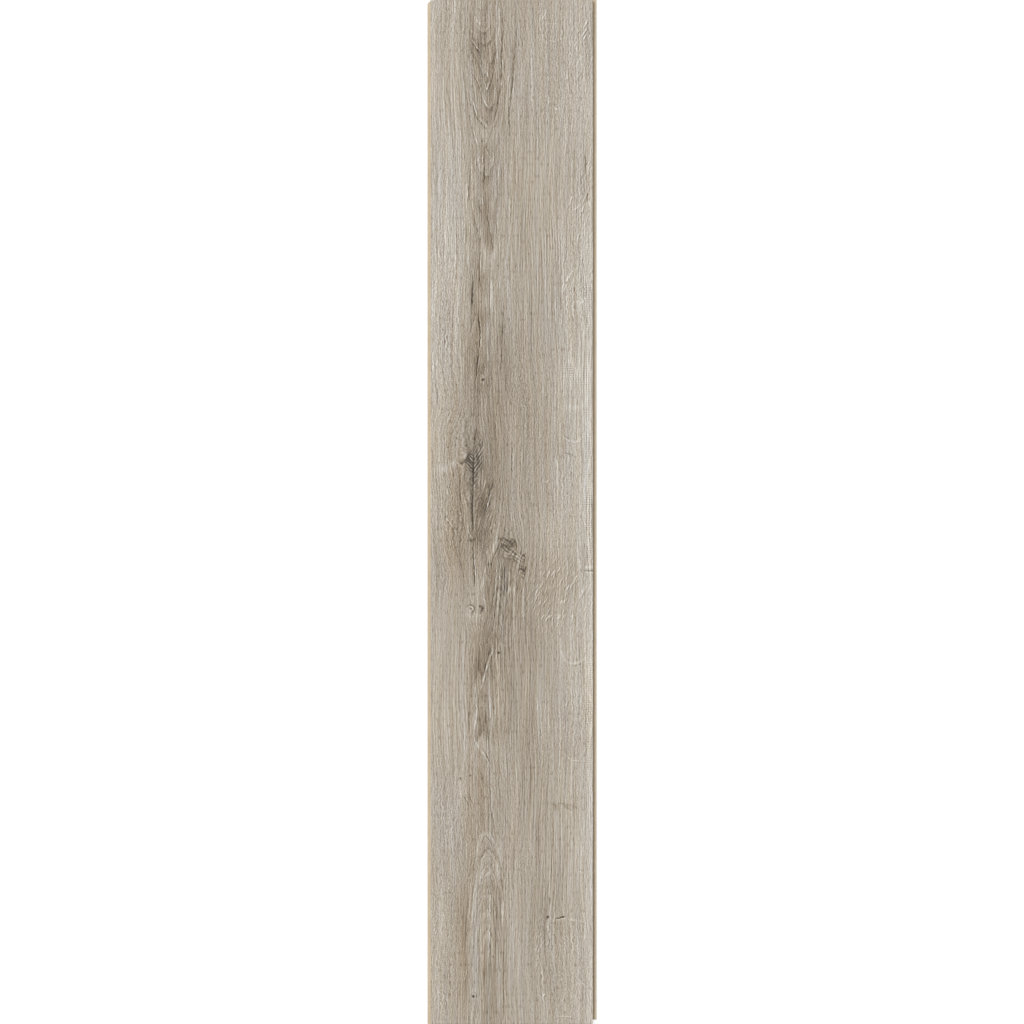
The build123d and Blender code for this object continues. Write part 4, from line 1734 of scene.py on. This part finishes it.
    def _dress(self, board: bpy.types.Object) -> None:
        """Gives the board its three finishes and its shading.

        Args:
            board: The board's object.
        """
        fibres = fibre_group()
        finishes = {
            Finish.DECOR: OakDecor(FinishWiring("oak_decor", fibres)),
            Finish.CORE: FibreCore(FinishWiring("fibreboard_core", fibres)),
            Finish.BACKING: BackingPaper(FinishWiring("backing_paper", fibres)),
        }
        for finish in Finish:
            board.data.materials.append(finishes[finish].material())
        board.data.polygons.foreach_set("use_smooth", [True] * len(board.data.polygons))
        board.data.set_sharp_from_angle(angle=math.radians(self.sharp_angle))


@dataclass
class Studio:
    """A pale floor, soft light from the upper left and a camera straight above the board."""

    face: DecorFace
    floor_size: float = 14.0
    floor_sink: float = 0.0001
    floor_colour: tuple = (0.8, 0.8, 0.79, 1.0)
    floor_seen: tuple = (0.35, 0.35, 0.35, 1.0)  # its colour where it is the background
    floor_glow: float = 0.72  # the white that is added there
    floor_roughness: float = 0.9
    lens: float = 200.0
    sensor: float = 36.0
    picture_tall: float = 1.2  # metres of board that fill the picture
    picture_shift: float = 0.00032  # the board's middle lies this far left of the picture's
    sky: float = 0.55
    key: float = 1.57
    key_angle: float = 26.0
    key_from: tuple = (-0.36, 0.28, 0.89)

    def build(self) -> None:
        """Sets up floor, light, world and camera."""
        self._floor()
        self._light()
        self._world()
        self._camera()
        bpy.context.scene.view_settings.view_transform = "Standard"

    def _floor(self) -> None:
        """Lays a wide floor that shows white and keeps the board's shadow."""
        shape = bmesh.new()
        bmesh.ops.create_grid(shape, x_segments=1, y_segments=1, size=self.floor_size / 2)
        bmesh.ops.translate(shape, verts=shape.verts, vec=Vector((0, 0, -self.floor_sink)))
        mesh = bpy.data.meshes.new("floor")
        shape.to_mesh(mesh)
        shape.free()
        floor = bpy.data.objects.new("floor", mesh)
        bpy.context.scene.collection.objects.link(floor)
        net = FinishWiring("pale_floor")
        seen = net.background_rays()
        net.dress(net.mixed(seen, self.floor_colour, self.floor_seen), self.floor_roughness)
        sources = (0.0, WHITE, seen * self.floor_glow)
        for name, source in zip(("Specular IOR Level", "Emission Color", "Emission Strength"), sources):
            net.feed(net.shader.inputs[name], source)
        mesh.materials.append(net.material)

    def _light(self) -> None:
        """Hangs a broad, soft key light."""
        data = bpy.data.lights.new("key_light", "SUN")
        data.energy = self.key
        data.angle = math.radians(self.key_angle)
        lamp = bpy.data.objects.new("key_light", data)
        lamp.rotation_euler = Vector(self.key_from).to_track_quat("Z", "Y").to_euler()
        bpy.context.scene.collection.objects.link(lamp)

    def _world(self) -> None:
        """Sets even light from all round, which shows as white."""
        world = bpy.data.worlds.new("studio")
        world.use_nodes = True
        bpy.context.scene.world = world
        net = Wiring(world.node_tree)
        background = world.node_tree.nodes["Background"]
        net.feed(background.inputs["Color"], WHITE)
        net.feed(background.inputs["Strength"], net.background_rays() * (1 - self.sky) + self.sky)

    def _camera(self) -> None:
        """Sets up a long lens straight above, with the board's far end at the top of the picture."""
        data = bpy.data.cameras.new("camera")
        data.lens = self.lens
        data.sensor_width = self.sensor
        camera = bpy.data.objects.new("camera", data)
        rise = self.picture_tall / 2 / (self.sensor / 2 / self.lens)
        camera.location = (self.picture_shift, 0, self.face.top + rise)
        data.clip_end = 2 * rise
        bpy.context.scene.collection.objects.link(camera)
        bpy.context.scene.camera = camera


def main() -> None:
    """Builds the studio and the board."""
    logging.basicConfig(level=logging.INFO, format="%(name)s: %(message)s")
    face = DecorFace.from_record(frame["record"])
    Studio(face).build()
    board = Plank(face).build()
    triangles = sum(len(part.vertices) - 2 for part in board.data.polygons)
    log.info("%s: %d faces, %d triangles", board.name, len(board.data.polygons), triangles)


if __name__ == "__main__":
    main()
